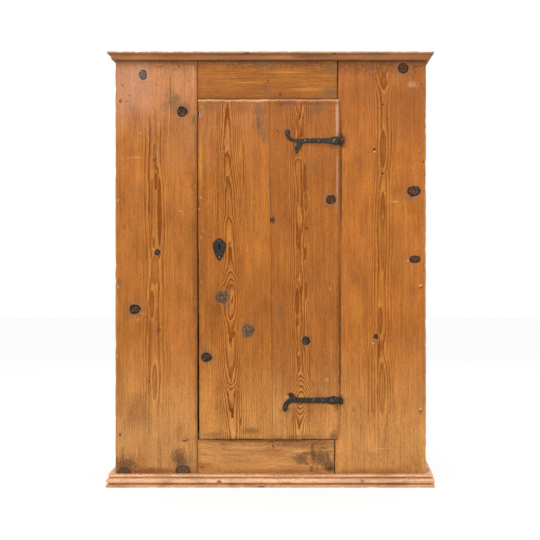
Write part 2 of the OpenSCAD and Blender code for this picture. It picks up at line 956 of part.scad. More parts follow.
module escutcheon()
    color("darkslategray")
        difference() {
            raised(keyhole_x, door_front_y, keyhole_z, escutcheon_t)
                escutcheon_outline();
            keyhole_cut(door_front_y - escutcheon_t - past, door_front_y + past);
            escutcheon_nail_holes();
        }

module escutcheon_nails()
    color("dimgray")
        for (site = escutcheon_nail_sites)
            nail(
                site[0], door_front_y - escutcheon_t, site[1],
                escutcheon_nail_head_r, escutcheon_nail_head_h, escutcheon_nail_length
            );

// The lock: a case open towards the cupboard, closed by its cover, with lugs over and under it
lug_inset = 6;
lug_nail_inset = 16;
lug_nail_xs = [lock_left_x + lug_nail_inset, lock_left_x + lock_w - lug_nail_inset];
lock_nail_sites = [
    for (x = lug_nail_xs)
        for (z = [lock_foot_z - lug_h / 2, lock_foot_z + lock_h + lug_h / 2])
            [x, z]
];
lock_nail_length = 22;
small_nail_head_r = 3.6;
small_nail_head_h = 1.4;

module lock_nail_holes()
    for (site = lock_nail_sites)
        nail_hole(site[0], site[1], door_back_y - lock_nail_length + lock_wall, door_back_y + lock_d);

module lock_case()
    color("slategray")
        difference() {
            union() {
                block(
                    [lock_left_x, door_back_y, lock_foot_z],
                    [lock_left_x + lock_w, lock_back_y, lock_foot_z + lock_h]
                );
                block(
                    [lock_left_x + lug_inset, door_back_y, lock_foot_z - lug_h],
                    [
                        lock_left_x + lock_w - lug_inset,
                        door_back_y + lock_wall,
                        lock_foot_z + lock_h + lug_h
                    ]
                );
            }
            block(
                [lock_left_x + lock_wall, door_back_y + lock_wall, lock_foot_z + lock_wall],
                [
                    lock_left_x + lock_w - lock_wall,
                    lock_back_y + past,
                    lock_foot_z + lock_h - lock_wall
                ]
            );
            keyhole_cut(door_back_y - past, door_back_y + lock_wall + past);
            block(
                [lock_left_x - past, bolt_y - bolt_gap, bolt_z - bolt_gap],
                [
                    lock_left_x + lock_wall + past,
                    bolt_y + bolt_t + bolt_gap,
                    bolt_z + bolt_h + bolt_gap
                ]
            );
            lock_nail_holes();
        }

module lock_cover()
    color("gray")
        difference() {
            block(
                [lock_left_x, lock_back_y, lock_foot_z],
                [lock_left_x + lock_w, lock_back_y + cover_t, lock_foot_z + lock_h]
            );
            bar_y(
                keyhole_x, keyhole_z,
                lock_back_y - past, lock_back_y + cover_t + past, keyhole_head_r
            );
        }

// A ring ward round the key's place, open where the key's bit goes in
ward_inset = 1;
ward_r = keyhole_drop - ward_inset;
ward_t = 1.5;
ward_h = 3;
ward_first_angle = -60;
ward_last_angle = 185;

module lock_ward()
    color("gray")
        raised(keyhole_x, door_back_y + lock_wall + ward_h, keyhole_z, ward_h)
            polygon(concat(
                arc([0, 0], ward_r, ward_first_angle, ward_last_angle, 24),
                arc([0, 0], ward_r - ward_t, ward_last_angle, ward_first_angle, 24)
            ));

// A bowed leaf spring between the top wall and the bolt
spring_t = 1.2;
spring_span = 54;
spring_gap = 0.3;

module lock_spring() {
    top = lock_foot_z + lock_h - lock_wall;
    rise = top - (bolt_z + bolt_h) - spring_gap - spring_t;
    bow_r = (pow(spring_span / 2, 2) + pow(rise, 2)) / (2 * rise);
    half_angle = asin(spring_span / 2 / bow_r);
    centre = [bow_r, 0];
    color("lightsteelblue")
        raised(lock_left_x + lock_w / 2, bolt_y + bolt_t, bolt_z + bolt_h + spring_gap, bolt_t)
            rotate(-quarter_turn)
                polygon(concat(
                    arc(-centre, bow_r, -half_angle, half_angle, 16),
                    arc(-centre, bow_r - spring_t, 0.97 * half_angle, -0.97 * half_angle, 16)
                ));
}

module lock_nails()
    color("dimgray")
        for (site = lock_nail_sites)
            inside_nail(
                site[0], door_back_y + lock_wall, site[1],
                small_nail_head_r, small_nail_head_h, lock_nail_length
            );

// The bolt, with the notch that the key turns in
talon_w = 13;
talon_h = 5;

module lock_bolt()
    color("silver")
        difference() {
            block(
                [bolt_x, bolt_y, bolt_z],
                [bolt_x + bolt_length, bolt_y + bolt_t, bolt_z + bolt_h]
            );
            block(
                [keyhole_x - talon_w / 2, bolt_y - past, bolt_z - past],
                [keyhole_x + talon_w / 2, bolt_y + bolt_t + past, bolt_z + talon_h]
            );
        }

// The keep on the back of the left stile: a hood that takes the bolt, and two flanges
keep_nail_sites = [
    [keep_x - keep_w / 2, keep_hood_z - keep_flange_h / 2],
    [keep_x - keep_w / 2, keep_hood_z + keep_hood_h + keep_flange_h / 2]
];
keep_nail_cover = 4;
keep_gap = 1;
keep_nail_length = front_t - keep_nail_cover;

module keep_nail_holes()
    for (site = keep_nail_sites)
        nail_hole(site[0], site[1], front_back_y - keep_nail_length, front_back_y + keep_d);

module lock_keep()
    color("slategray")
        difference() {
            union() {
                block(
                    [keep_x - keep_w, front_back_y, keep_hood_z],
                    [keep_x, front_back_y + keep_d, keep_hood_z + keep_hood_h]
                );
                block(
                    [keep_x - keep_w, front_back_y, keep_hood_z - keep_flange_h],
                    [keep_x, front_back_y + keep_flange_t, keep_hood_z + keep_hood_h + keep_flange_h]
                );
            }
            block(
                [keep_x - keep_w + keep_wall, bolt_y - keep_gap, bolt_z - keep_gap],
                [keep_x + past, bolt_y + bolt_t + keep_gap, bolt_z + bolt_h + keep_gap]
            );
            keep_nail_holes();
        }

module keep_nails()
    color("dimgray")
        for (site = keep_nail_sites)
            inside_nail(
                site[0], front_back_y + keep_flange_t, site[1],
                small_nail_head_r, small_nail_head_h, keep_nail_length
            );

left_side_front_board();
left_side_rear_board();
right_side_front_board();
right_side_rear_board();
roof_front_board();
roof_rear_board();
floor_front_board();
floor_rear_board();
back_board_1();
back_board_2();
back_board_3();
back_board_4();
back_board_5();
left_stile();
right_stile();
header_board();
bottom_rail();
head_stop();
lower_shelf();
middle_shelf();
upper_shelf();
lower_left_cleat();
lower_right_cleat();
middle_left_cleat();
middle_right_cleat();
upper_left_cleat();
upper_right_cleat();
cornice_front();
cornice_left();
cornice_right();
base_moulding_front();
base_moulding_left();
base_moulding_right();
frame_nails();
upper_pintle();
lower_pintle();
lock_keep();
keep_nails();
door_left_plank();
door_right_plank();
door_upper_ledge();
door_lower_ledge();
ledge_nails();
upper_hinge_strap();
lower_hinge_strap();
upper_hinge_nails();
lower_hinge_nails();
escutcheon();
escutcheon_nails();
lock_case();
lock_cover();
lock_ward();
lock_spring();
lock_nails();
lock_bolt();
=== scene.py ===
"""A tall pine cupboard with one ledged door on forged strap hinges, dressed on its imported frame.

Lengths are in millimetres until a piece is placed. +Z is up, the front faces -Y, and +X is to the
right as seen from the front, as in the frame.
"""
import logging
import math
import random
from collections.abc import Callable, Sequence
from dataclasses import dataclass, replace
from enum import Enum

import bmesh
import bpy
from bmesh.types import BMEdge, BMesh, BMFace, BMVert
from bpy.types import Material, NodeSocket, NodeTree, Object
from mathutils import Matrix, Vector, noise


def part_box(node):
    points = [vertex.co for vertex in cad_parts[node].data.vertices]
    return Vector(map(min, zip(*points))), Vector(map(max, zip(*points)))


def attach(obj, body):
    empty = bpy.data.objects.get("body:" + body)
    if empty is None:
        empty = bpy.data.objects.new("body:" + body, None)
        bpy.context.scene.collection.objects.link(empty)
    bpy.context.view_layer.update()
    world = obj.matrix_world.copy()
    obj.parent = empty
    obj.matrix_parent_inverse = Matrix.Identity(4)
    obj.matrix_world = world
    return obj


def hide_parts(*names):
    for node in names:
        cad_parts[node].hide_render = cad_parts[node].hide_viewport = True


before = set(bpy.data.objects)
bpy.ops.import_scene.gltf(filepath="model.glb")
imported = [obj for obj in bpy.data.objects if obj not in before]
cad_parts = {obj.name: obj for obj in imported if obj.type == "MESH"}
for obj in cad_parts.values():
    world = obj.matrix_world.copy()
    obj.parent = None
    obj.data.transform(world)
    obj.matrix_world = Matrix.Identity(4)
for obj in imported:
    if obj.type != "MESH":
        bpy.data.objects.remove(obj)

log = logging.getLogger("cupboard")
MM = 0.001
# The height over which the middle of a figure goes from its place at the foot to that at the head
FIGURE_LENGTH = 1700
Colour = tuple[float, float, float]
Point = tuple[float, float, float]
Pair = tuple[float, float]


# Values that vary over a surface

@dataclass(frozen=True)
class Field:
    """A number or a vector that varies over a surface, with the arithmetic of numbers."""

    tree: NodeTree
    socket: NodeSocket

    def made(self, operation: str, *others: "Field | float", clamp: bool = False) -> "Field":
        """Puts this field and others through a Math node.

        Args:
            operation: the Math node's operation.
            others: its further inputs, as fields or plain numbers.
            clamp: whether the result is kept between 0 and 1.

        Returns:
            The result as a field.
        """
        node = self.tree.nodes.new("ShaderNodeMath")
        node.operation = operation
        node.use_clamp = clamp
        for slot, value in zip(node.inputs, (self, *others)):
            feed(self.tree, slot, value)
        return Field(self.tree, node.outputs[0])

    def __add__(self, other: "Field | float") -> "Field":
        """The sum of the two."""
        return self.made("ADD", other)

    def __sub__(self, other: "Field | float") -> "Field":
        """This field less the other."""
        return self.made("SUBTRACT", other)

    def __mul__(self, other: "Field | float") -> "Field":
        """The product of the two."""
        return self.made("MULTIPLY", other)

    def scaled(self, factor: float, offset: float = 0.0) -> "Field":
        """This field times a factor, plus an offset."""
        return self.made("MULTIPLY_ADD", factor, offset)

    def ramp(self, start: float, end: float, low: float = 0.0, high: float = 1.0) -> "Field":
        """Eases from one value to another.

        Args:
            start: the input at which the result is low.
            end: the input at which the result is high.
            low: the result up to start.
            high: the result from end on.

        Returns:
            The eased field.
        """
        node = self.tree.nodes.new("ShaderNodeMapRange")
        node.interpolation_type = "SMOOTHSTEP"
        feed(self.tree, node.inputs["Value"], self)
        node.inputs["From Min"].default_value = min(start, end)
        node.inputs["From Max"].default_value = max(start, end)
        node.inputs["To Min"].default_value = low if start < end else high
        node.inputs["To Max"].default_value = high if start < end else low
        return Field(self.tree, node.outputs["Result"])

    def curve(self, points: Sequence[Pair]) -> "Field":
        """Follows a smooth curve through points given as (input, result).

        Args:
            points: the curve's points, in the order of their inputs.

        Returns:
            The curve's value as a field.
        """
        first, last = points[0][0], points[-1][0]
        low = min(value for _, value in points)
        span = max(value for _, value in points) - low or 1.0
        node = self.tree.nodes.new("ShaderNodeFloatCurve")
        feed(self.tree, node.inputs["Value"], self.scaled(1 / (last - first), -first / (last - first)))
        line = node.mapping.curves[0].points
        line[0].location = (0.0, (points[0][1] - low) / span)
        line[1].location = (1.0, (points[-1][1] - low) / span)
        for place, value in points[1:-1]:
            line.new((place - first) / (last - first), (value - low) / span)
        node.mapping.update()
        return Field(self.tree, node.outputs["Value"]).scaled(span, low)


def feed(tree: NodeTree, slot: NodeSocket, value: "Field | float | Sequence[float]") -> None:
    """Gives a node's input a field or a plain value."""
    if isinstance(value, Field):
        tree.links.new(value.socket, slot)
    else:
        slot.default_value = value


def vectored(operation: str, first: Field, *others: "Field | Point", output: str = "Vector") -> Field:
    """Puts vectors into a Vector Math node."""
    node = first.tree.nodes.new("ShaderNodeVectorMath")
    node.operation = operation
    for slot, value in zip(node.inputs, (first, *others)):
        feed(first.tree, slot, value)
    return Field(first.tree, node.outputs[output])


def stretched(point: Field, scale: Point, shift: Point = (0.0, 0.0, 0.0)) -> Field:
    """A vector field times a scale, plus a shift."""
    return vectored("MULTIPLY_ADD", point, scale, shift)


def reach(point: Field, centre: Sequence[float], radii: Sequence[float]) -> Field:
    """How far a point lies from a centre, where 1 is on the ellipse with these radii.

    Args:
        point: the place on the board, as (across, along, deep).
        centre: the ellipse's centre, across and along.
        radii: its half width and its half height.

    Returns:
        The distance as a field.
    """
    scale = (1 / radii[0], 1 / radii[1], 0.0)
    moved = stretched(point, scale, (-centre[0] * scale[0], -centre[1] * scale[1], 0.0))
    return vectored("LENGTH", moved, output="Value")


def cloud(point: Field, size: Point, seed: float, amount: float = 1.0, detail: float = 2.0) -> Field:
    """Soft random variation.

    Args:
        point: the place on the board, as (across, along, deep).
        size: the length of its swells in each direction.
        seed: picks the pattern.
        amount: how far the result swings to each side of zero.
        detail: how many finer layers it has.

    Returns:
        The variation as a field.
    """
    node = point.tree.nodes.new("ShaderNodeTexNoise")
    node.inputs["Scale"].default_value = 1.0
    node.inputs["Detail"].default_value = detail
    scale = (1 / size[0], 1 / size[1], 1 / size[2])
    feed(point.tree, node.inputs["Vector"], stretched(point, scale, (seed, seed * 1.7, seed * 0.6)))
    return Field(point.tree, node.outputs["Fac"]).scaled(4 * amount, -2 * amount)


def tinted(base: "Field | Colour", top: "Field | Colour", amount: Field) -> Field:
    """Lays one colour over another in a given amount."""
    node = amount.tree.nodes.new("ShaderNodeMix")
    node.data_type = "RGBA"
    feed(amount.tree, node.inputs[0], amount)
    for slot, value in ((node.inputs[6], base), (node.inputs[7], top)):
        feed(amount.tree, slot, value if isinstance(value, Field) else (*value, 1.0))
    return Field(amount.tree, node.outputs[2])


def shaded(base: Field, light: Field) -> Field:
    """Makes a colour lighter or darker, where a light of 1 leaves it as it is."""
    node = base.tree.nodes.new("ShaderNodeVectorMath")
    node.operation = "SCALE"
    feed(base.tree, node.inputs[0], base)
    feed(base.tree, node.inputs["Scale"], light)
    return Field(base.tree, node.outputs[0])


@dataclass(frozen=True)
class Shader:
    """A new material with its tree and its surface shader."""

    material: Material
    tree: NodeTree
    surface: bpy.types.Node

    @classmethod
    def called(cls, name: str) -> "Shader":
        """Starts a material under a name."""
        material = bpy.data.materials.new(name)
        material.use_nodes = True
        tree = material.node_tree
        return cls(material, tree, tree.nodes["Principled BSDF"])

    def place(self) -> Field:
        """The point on the object, in millimetres."""
        node = self.tree.nodes.new("ShaderNodeTexCoord")
        return stretched(Field(self.tree, node.outputs["Object"]), (1000.0, 1000.0, 1000.0))

    def finish(self, colour: Field, rough: Field, height: Field, depth: float) -> Material:
        """Joins the fields to the surface.

        Args:
            colour: the surface's own colour.
            rough: its roughness.
            height: its relief, where 1 is the highest.
            depth: how deep the relief is, in millimetres.

        Returns:
            The finished material.
        """
        bump = self.tree.nodes.new("ShaderNodeBump")
        bump.inputs["Strength"].default_value = 1.0
        bump.inputs["Distance"].default_value = depth * MM
        feed(self.tree, bump.inputs["Height"], height)
        feed(self.tree, self.surface.inputs["Base Color"], colour)
        feed(self.tree, self.surface.inputs["Roughness"], rough)
        self.tree.links.new(bump.outputs["Normal"], self.surface.inputs["Normal"])
        return self.material


# Pine

class Grain(Enum):
    """Which axes lie across, along and deep into a board, by the way its grain runs."""

    UP = (0, 2, 1)
    UP_SIDEWAYS = (1, 2, 0)
    LEVEL = (2, 0, 1)
    LEVEL_SIDEWAYS = (2, 1, 0)
    FLAT = (1, 0, 2)


class KnotKind(Enum):
    """The kinds of knot, as the colours of their heart, rim, halo and specks, and their strength."""

    DARK = ((0.058, 0.03, 0.019), (0.011, 0.007, 0.005), (0.22, 0.13, 0.075), (0.24, 0.16, 0.10), 0.97)
    RED = ((0.095, 0.036, 0.019), (0.022, 0.010, 0.007), (0.27, 0.14, 0.07), (0.20, 0.09, 0.045), 0.97)
    CRUMBLY = ((0.145, 0.085, 0.05), (0.035, 0.021, 0.013), (0.25, 0.125, 0.065), (0.32, 0.205, 0.125), 0.93)
    BLUE = ((0.135, 0.106, 0.106), (0.045, 0.033, 0.032), (0.46, 0.27, 0.17), (0.34, 0.29, 0.28), 0.95)
    DULL = ((0.15, 0.082, 0.048), (0.075, 0.042, 0.026), (0.19, 0.11, 0.06), (0.24, 0.14, 0.08), 0.92)


# Names for the tables, as with the mark tints below
DARK, RED, CRUMBLY, BLUE, DULL = KnotKind


@dataclass(frozen=True)
class Knot:
    """A knot in a board: its place, its half width, its height by width, and its kind."""

    across: float
    along: float
    radius: float
    kind: KnotKind = DARK
    stretch: float = 1.0


class MarkTint(Enum):
    """Colours of marks on old wood: stains, dirt and wear, and the painted shade and highlights that some
    marks stand for.
    """

    DIRT_AND_SHADE = (0.075, 0.036, 0.016)
    BROWN = (0.135, 0.054, 0.02)
    UMBER = (0.15, 0.042, 0.009)
    SOOT_AND_SHADE = (0.012, 0.008, 0.006)
    GREY = (0.18, 0.105, 0.058)
    GREEN = (0.15, 0.105, 0.045)
    PINK_HIGHLIGHT = (0.62, 0.33, 0.22)
    PALE_AND_HIGHLIGHT = (0.78, 0.50, 0.27)
    YELLOW_AND_HIGHLIGHT = (0.72, 0.33, 0.05)
    RUST = (0.33, 0.095, 0.022)


DIRT_AND_SHADE, BROWN, UMBER, SOOT_AND_SHADE, GREY, GREEN, PINK_HIGHLIGHT, PALE_AND_HIGHLIGHT, YELLOW_AND_HIGHLIGHT, RUST = MarkTint


@dataclass(frozen=True)
class Mark:
    """A stain, scratch or dent, or a patch of painted shade or highlight: its place, half width, half height,
    colour and strength.

    core is the share of its radius over which it is at full strength, and a ring is only its rim.
    """

    across: float
    along: float
    half_width: float
    half_height: float
    tint: MarkTint
    strength: float = 0.6
    core: float = 0.2
    ring: bool = False


@dataclass(frozen=True)
class Lens:
    """A patch of late wood cut flat, long and pointed: its place, half width, half height and depth."""

    across: float
    along: float
    half_width: float
    half_height: float
    fill: float = 0.6


@dataclass(frozen=True)
class Edges:
    """A board's outline: where its left and right edges lie at its foot and at its head."""

    left: Pair
    right: Pair
    foot: float
    head: float


def each(kind: type, rows: Sequence[tuple]) -> tuple:
    """One thing of a kind from each row of its values."""
    return tuple(kind(*row) for row in rows)


@dataclass(frozen=True)
class Pine:
    """One board's pine, with its figure, knots, marks and tone.

    heart is where the middle of the figure lies at the board's foot and head. figure gives ring
    numbers along that middle line, so arches fall where the real ones are. foot_tone and head_tone
    are the colours of its two ends, reached over the lengths in foot_fade and head_fade. shade is
    the strength of the painted shade along the edge beside the door: above 0 on the left, below 0
    on the right. calm and calm_foot are the lengths over which the figure dies away towards the
    head and the foot. inward is the depth over which the wax ends and the dry wood of the inside
    begins.
    """

    name: str
    grain: Grain = Grain.UP
    heart: Pair = (0.0, 0.0)
    figure: tuple[Pair, ...] = ()
    lenses: tuple[Lens, ...] = ()
    knots: tuple[Knot, ...] = ()
    marks: tuple[Mark, ...] = ()
    edges: Edges | None = None
    early: Colour = (0.52, 0.18, 0.034)
    late: Colour = (0.21, 0.048, 0.006)
    foot_tone: Colour | None = None
    head_tone: Colour | None = None
    foot_fade: Pair = (640.0, 130.0)
    head_fade: Pair = (1230.0, 1600.0)
    span: float = 30.0
    rings: float = 4.0
    contrast: float = 0.95
    outer: float = 0.3
    reach: float = 2.6
    wander: float = 0.3
    jagged: float = 0.07
    calm: Pair = (2000.0, 2200.0)
    calm_foot: Pair = (-300.0, -500.0)
    grime: float = 0.6
    shade: float = 0.0
    gloss: float = 0.5
    inward: Pair | None = None
    seed: float = 0.0

    def swell(self, point: Field, width: float, length: float, pick: float, amount: float = 1.0,
              detail: float = 2.0) -> Field:
        """Soft variation whose swells are as deep as they are wide. pick tells it from the others."""
        return cloud(point, (width, length, width), self.seed + pick, amount, detail)

    def bent(self, point: Field, across: Field) -> Field:
        """Bends the grain round the knots.

        Args:
            point: the place on the board.
            across: its first coordinate.

        Returns:
            The coordinate across the board, drawn towards the middle of each knot nearby.
        """
        result = across
        for knot in self.knots:
            radii = (2.3 * knot.radius, 4.6 * knot.radius * knot.stretch)
            near = reach(point, (knot.across, knot.along), radii)
            pull = near.ramp(1.0, 0.15, 0.0, -0.8) * across.scaled(1.0, -knot.across)
            result = result + pull
        return result

    def ring_field(self, point: Field, across: Field, along: Field, deep: Field) -> tuple[Field, Field]:
        """Numbers the growth rings.

        Args:
            point: the place on the board.
            across: the coordinate across the board.
            along: the coordinate along the grain.
            deep: the coordinate through the board.

        Returns:
            The ring number, and the distance from the middle line in spans, as a hyperbola.
        """
        lean = (self.heart[1] - self.heart[0]) / FIGURE_LENGTH
        middle = along.scaled(lean, self.heart[0]) + self.swell(point, 900, 260, 3, 6.0, 1.0)
        side = (self.bent(point, across) - middle).scaled(1 / self.span)
        hyperbola = (side * side + 1.0).made("SQRT")
        rings = hyperbola.scaled(self.rings, -self.rings)
        if self.figure:
            rings = rings + along.curve(self.figure)
        else:
            rings = rings + self.swell(point, 900, 420, 11, 2.4, 1.0)
        rings = rings + deep.scaled(0.11)
        rings = rings + self.swell(point, 60, 420, 5, self.wander, 1.0)
        rings = rings + self.swell(point, 11, 110, 7, self.wander * 0.3, 1.0)
        rings = rings + self.swell(point, 9, 26, 9, self.jagged)
        return rings, hyperbola

    def late_wood(self, point: Field, along: Field, rings: Field, hyperbola: Field) -> tuple[Field, Field]:
        """Finds where the dark late wood shows, and the pale wood beside it.

        Args:
            point: the place on the board.
            along: the coordinate along the grain.
            rings: the ring number.
            hyperbola: the distance from the middle line.

        Returns:
            The amounts of late wood and of the palest early wood.
        """
        phase = rings.made("FRACT")
        line = phase.ramp(0.42, 0.92) * phase.ramp(1.0, 0.95)
        fade = hyperbola.ramp(1.05, self.reach, 1.0, self.outer)
        patch = self.swell(point, 40, 150, 13, 0.3).scaled(self.contrast, self.contrast)
        late = line * fade * patch
        pale = phase.ramp(0.3, 0.03) * fade
        tight = self.loosened(point, 1.1, 16.0)
        for lens in self.lenses:
            near = reach(tight, (lens.across, lens.along), (lens.half_width, lens.half_height))
            inside = near.ramp(1.04, 0.93)
            body = near.ramp(0.35, 1.0, lens.fill, min(1.0, lens.fill + 0.3))
            late = late * near.ramp(1.25, 0.95, 1.0, 0.0) + inside * body
            pale = pale + near.ramp(1.7, 1.1) * near.ramp(0.95, 1.08, 0.0, 0.7)
        drift = along + self.swell(point, 40, 90, 15, 70.0)
        calm = drift.ramp(*self.calm, 1.0, 0.18) * drift.ramp(*self.calm_foot, 1.0, 0.22)
        return late * calm, pale.made("MINIMUM", 1.0) * calm

    def edge_line(self, across: Field, along: Field, left: bool) -> Field:
        """The distance to the board's left or right edge."""
        edges = self.edges
        foot, head = edges.left if left else edges.right
        lean = (head - foot) / (edges.head - edges.foot)
        line = along.scaled(lean, foot - lean * edges.foot)
        return across - line if left else line - across

    def edge_distance(self, across: Field, along: Field) -> Field:
        """The distance to the nearest of the board's four edges."""
        found = self.edge_line(across, along, True).made("MINIMUM", self.edge_line(across, along, False))
        found = found.made("MINIMUM", along.scaled(1.0, -self.edges.foot))
        return found.made("MINIMUM", along.scaled(-1.0, self.edges.head))

    def patina(self, point: Field, along: Field) -> Field:
        """The early wood's colour with its two ends' tones, its streaks and its clouds."""
        colour = tinted(self.early, self.foot_tone or self.early, along.ramp(*self.foot_fade))
        drift = along + self.swell(point, 110, 170, 17, 110.0)
        colour = tinted(colour, self.head_tone or self.early, drift.ramp(*self.head_fade))
        yellow = self.swell(point, 6, 420, 19, 1.0, 1.0).ramp(0.3, 1.0, 0.0, 0.2)
        colour = tinted(colour, YELLOW_AND_HIGHLIGHT.value, yellow)
        red = self.swell(point, 55, 150, 31, 1.0, 5.0).ramp(0.0, 1.0, 0.0, 0.5)
        colour = tinted(colour, RUST.value, red)
        smoke = self.swell(point, 48, 75, 33, 1.0, 5.0).ramp(0.25, 1.1, 0.0, 0.32)
        return tinted(colour, GREY.value, smoke)

    def material(self) -> Material:
        """Builds the board's material.

        Returns:
            The finished material.
        """
        shader = Shader.called(self.name)
        shader.surface.inputs["Specular IOR Level"].default_value = 0.07
        tree = shader.tree
        parts = tree.nodes.new("ShaderNodeSeparateXYZ")
        feed(tree, parts.inputs[0], shader.place())
        across, along, deep = (Field(tree, parts.outputs[axis]) for axis in self.grain.value)
        joined = tree.nodes.new("ShaderNodeCombineXYZ")
        for slot, value in zip(joined.inputs, (across, along, deep)):
            feed(tree, slot, value)
        point = Field(tree, joined.outputs[0])

        rings, hyperbola = self.ring_field(point, across, along, deep)
        late, pale = self.late_wood(point, along, rings, hyperbola)
        colour = self.patina(point, along)
        colour = tinted(colour, YELLOW_AND_HIGHLIGHT.value, pale.scaled(0.34))
        colour = tinted(colour, self.late, late.scaled(0.92))
        if self.inward is not None:
            colour = tinted(colour, DRY_EARLY, deep.ramp(*self.inward, 0.0, 0.6))
        band = self.swell(point, 12, 600, 21, 0.12)
        blotch = self.swell(point, 75, 190, 23, 0.17, 5.0)
        fibre = self.swell(point, 2.8, 80, 29, 0.12, 1.0)
        fine = fibre + self.swell(point, 6, 200, 27, 0.08, 1.0)
        fine = fine + self.swell(point, 4.5, 7, 25, 0.14)
        colour = shaded(colour, (band + blotch + fine.scaled(0.75)).scaled(1.0, 0.99))
        colour = tinted(colour, UMBER.value, fine.ramp(-0.02, -0.25, 0.0, 0.2))
        freckle = self.swell(point, 8, 12, 35, 1.0, 4.0).ramp(0.25, 1.0, 0.0, 0.3)
        colour = tinted(colour, UMBER.value, freckle)
        pore = self.swell(point, 2.2, 42, 39, 1.0, 1.0).ramp(0.42, 0.75, 0.0, 0.32)
        colour = tinted(colour, UMBER.value, pore)

        height = late.scaled(0.5) + fibre.scaled(1.4)
        rough = self.swell(point, 40, 90, 37, 0.06).scaled(1.0, self.gloss)
        tight = self.loosened(point, 1.6, 12.0)
        colour = self.marked(point, tight, colour)
        for knot in self.knots:
            colour, height = self.knotted(tight, knot, colour, height)
        if self.edges is not None:
            colour = self.edged(point, across, along, colour)
        place = self.swell(point, 130, 210, 53, 0.3)
        speck = self.swell(point, 3.6, 5.5, 47, 1.0) + place
        colour = tinted(colour, DIRT_AND_SHADE.value, speck.ramp(0.85, 1.2, 0.0, 0.6))
        nick = self.swell(point, 3.2, 4.2, 59, 1.0) - place
        colour = tinted(colour, PALE_AND_HIGHLIGHT.value, nick.ramp(0.95, 1.25, 0.0, 0.5))
        return shader.finish(colour, rough, height, 0.35)

    def marked(self, point: Field, tight: Field, colour: Field) -> Field:
        """The colour with the board's marks on it, where small ones keep to the tight point."""
        loose = self.loosened(point, 3.0, 26.0)
        mottle = self.swell(point, 7, 11, 61, 0.34, 3.0)
        for mark in self.marks:
            small = mark.half_width < 12
            shaken = tight if small else loose
            near = reach(shaken, (mark.across, mark.along), (mark.half_width, mark.half_height))
            if mark.ring:
                near = near.scaled(1.0, -0.9).made("ABSOLUTE").scaled(8.0)
            elif not small:
                near = near + mottle
            colour = tinted(colour, mark.tint.value, near.ramp(1.0, mark.core, 0.0, mark.strength))
        return colour

    def edged(self, point: Field, across: Field, along: Field, colour: Field) -> Field:
        """The colour with the grime along the board's edges, and with painted shade along the edge beside the
        door.
        """
        gap = self.edge_distance(across, along) + self.swell(point, 14, 45, 41, 4.0, 3.0)
        colour = tinted(colour, DIRT_AND_SHADE.value, gap.ramp(6.0, -2.0, 0.0, self.grime))
        wide = gap + self.swell(point, 60, 90, 43, 16.0, 3.0)
        colour = tinted(colour, UMBER.value, wide.ramp(24.0, 0.0, 0.0, self.grime * 0.4))
        if not self.shade:
            return colour
        # Painted shade: a dark line along the edge beside the door, for the shade in the gap.
        line = self.edge_line(across, along, self.shade > 0) + self.swell(point, 20, 60, 45, 2.5)
        return tinted(colour, DIRT_AND_SHADE.value, line.ramp(13.0, 3.0, 0.0, abs(self.shade)))

    def loosened(self, point: Field, amount: float, size: float) -> Field:
        """Shakes the point a little, so that marks have uneven outlines."""
        node = point.tree.nodes.new("ShaderNodeTexNoise")
        node.inputs["Scale"].default_value = 1.0
        node.inputs["Detail"].default_value = 2.0
        scale = (1 / size, 1 / size, 1 / size)
        feed(point.tree, node.inputs["Vector"], stretched(point, scale, (self.seed, 2.0, 5.0)))
        swing = (4 * amount, 4 * amount, 0.0)
        middle = (-2 * amount, -2 * amount, 0.0)
        shake = stretched(Field(point.tree, node.outputs["Color"]), swing, middle)
        return vectored("ADD", point, shake)

    def knotted(self, point: Field, knot: Knot, colour: Field, height: Field) -> tuple[Field, Field]:
        """Paints one knot.

        Args:
            point: the place on the board.
            knot: the knot.
            colour: the board's colour so far.
            height: its relief so far.

        Returns:
            The colour and the relief with the knot in them.
        """
        heart, rim, halo, speck, cover = knot.kind.value
        near = reach(point, (knot.across, knot.along), (knot.radius, knot.radius * knot.stretch))
        patch = cloud(point, (knot.radius, knot.radius, 9), self.seed + knot.across, 0.6, 2.0)
        crumbly = knot.kind is CRUMBLY
        colour = tinted(colour, halo, (near + patch).ramp(1.9 if crumbly else 2.3, 0.8, 0.0, 0.55))
        lump = knot.radius * (0.3 if crumbly else 0.26)
        crack = cloud(point, (lump, lump, 9), self.seed + knot.along, 1.3, 3.0)
        ring = (near.scaled(3.3) + crack.scaled(0.5)).made("FRACT").ramp(0.25, 0.95)
        inside = tinted(tinted(heart, rim, ring.scaled(0.7)), rim, crack.ramp(-0.2, -0.8, 0.0, 0.8))
        inside = tinted(inside, speck, crack.ramp(0.25, 0.75, 0.0, 0.85))
        outline = near + patch.scaled(0.4 if crumbly else 0.16)
        colour = tinted(colour, inside, outline.ramp(1.1, 0.7 if crumbly else 0.88, 0.0, cover))
        edge = outline.scaled(1.0, -0.95).made("ABSOLUTE").ramp(0.22, 0.03)
        rimmed = 0.3 if crumbly else 0.85
        return tinted(colour, rim, edge.scaled(rimmed)), height - edge.scaled(0.8)


# Iron

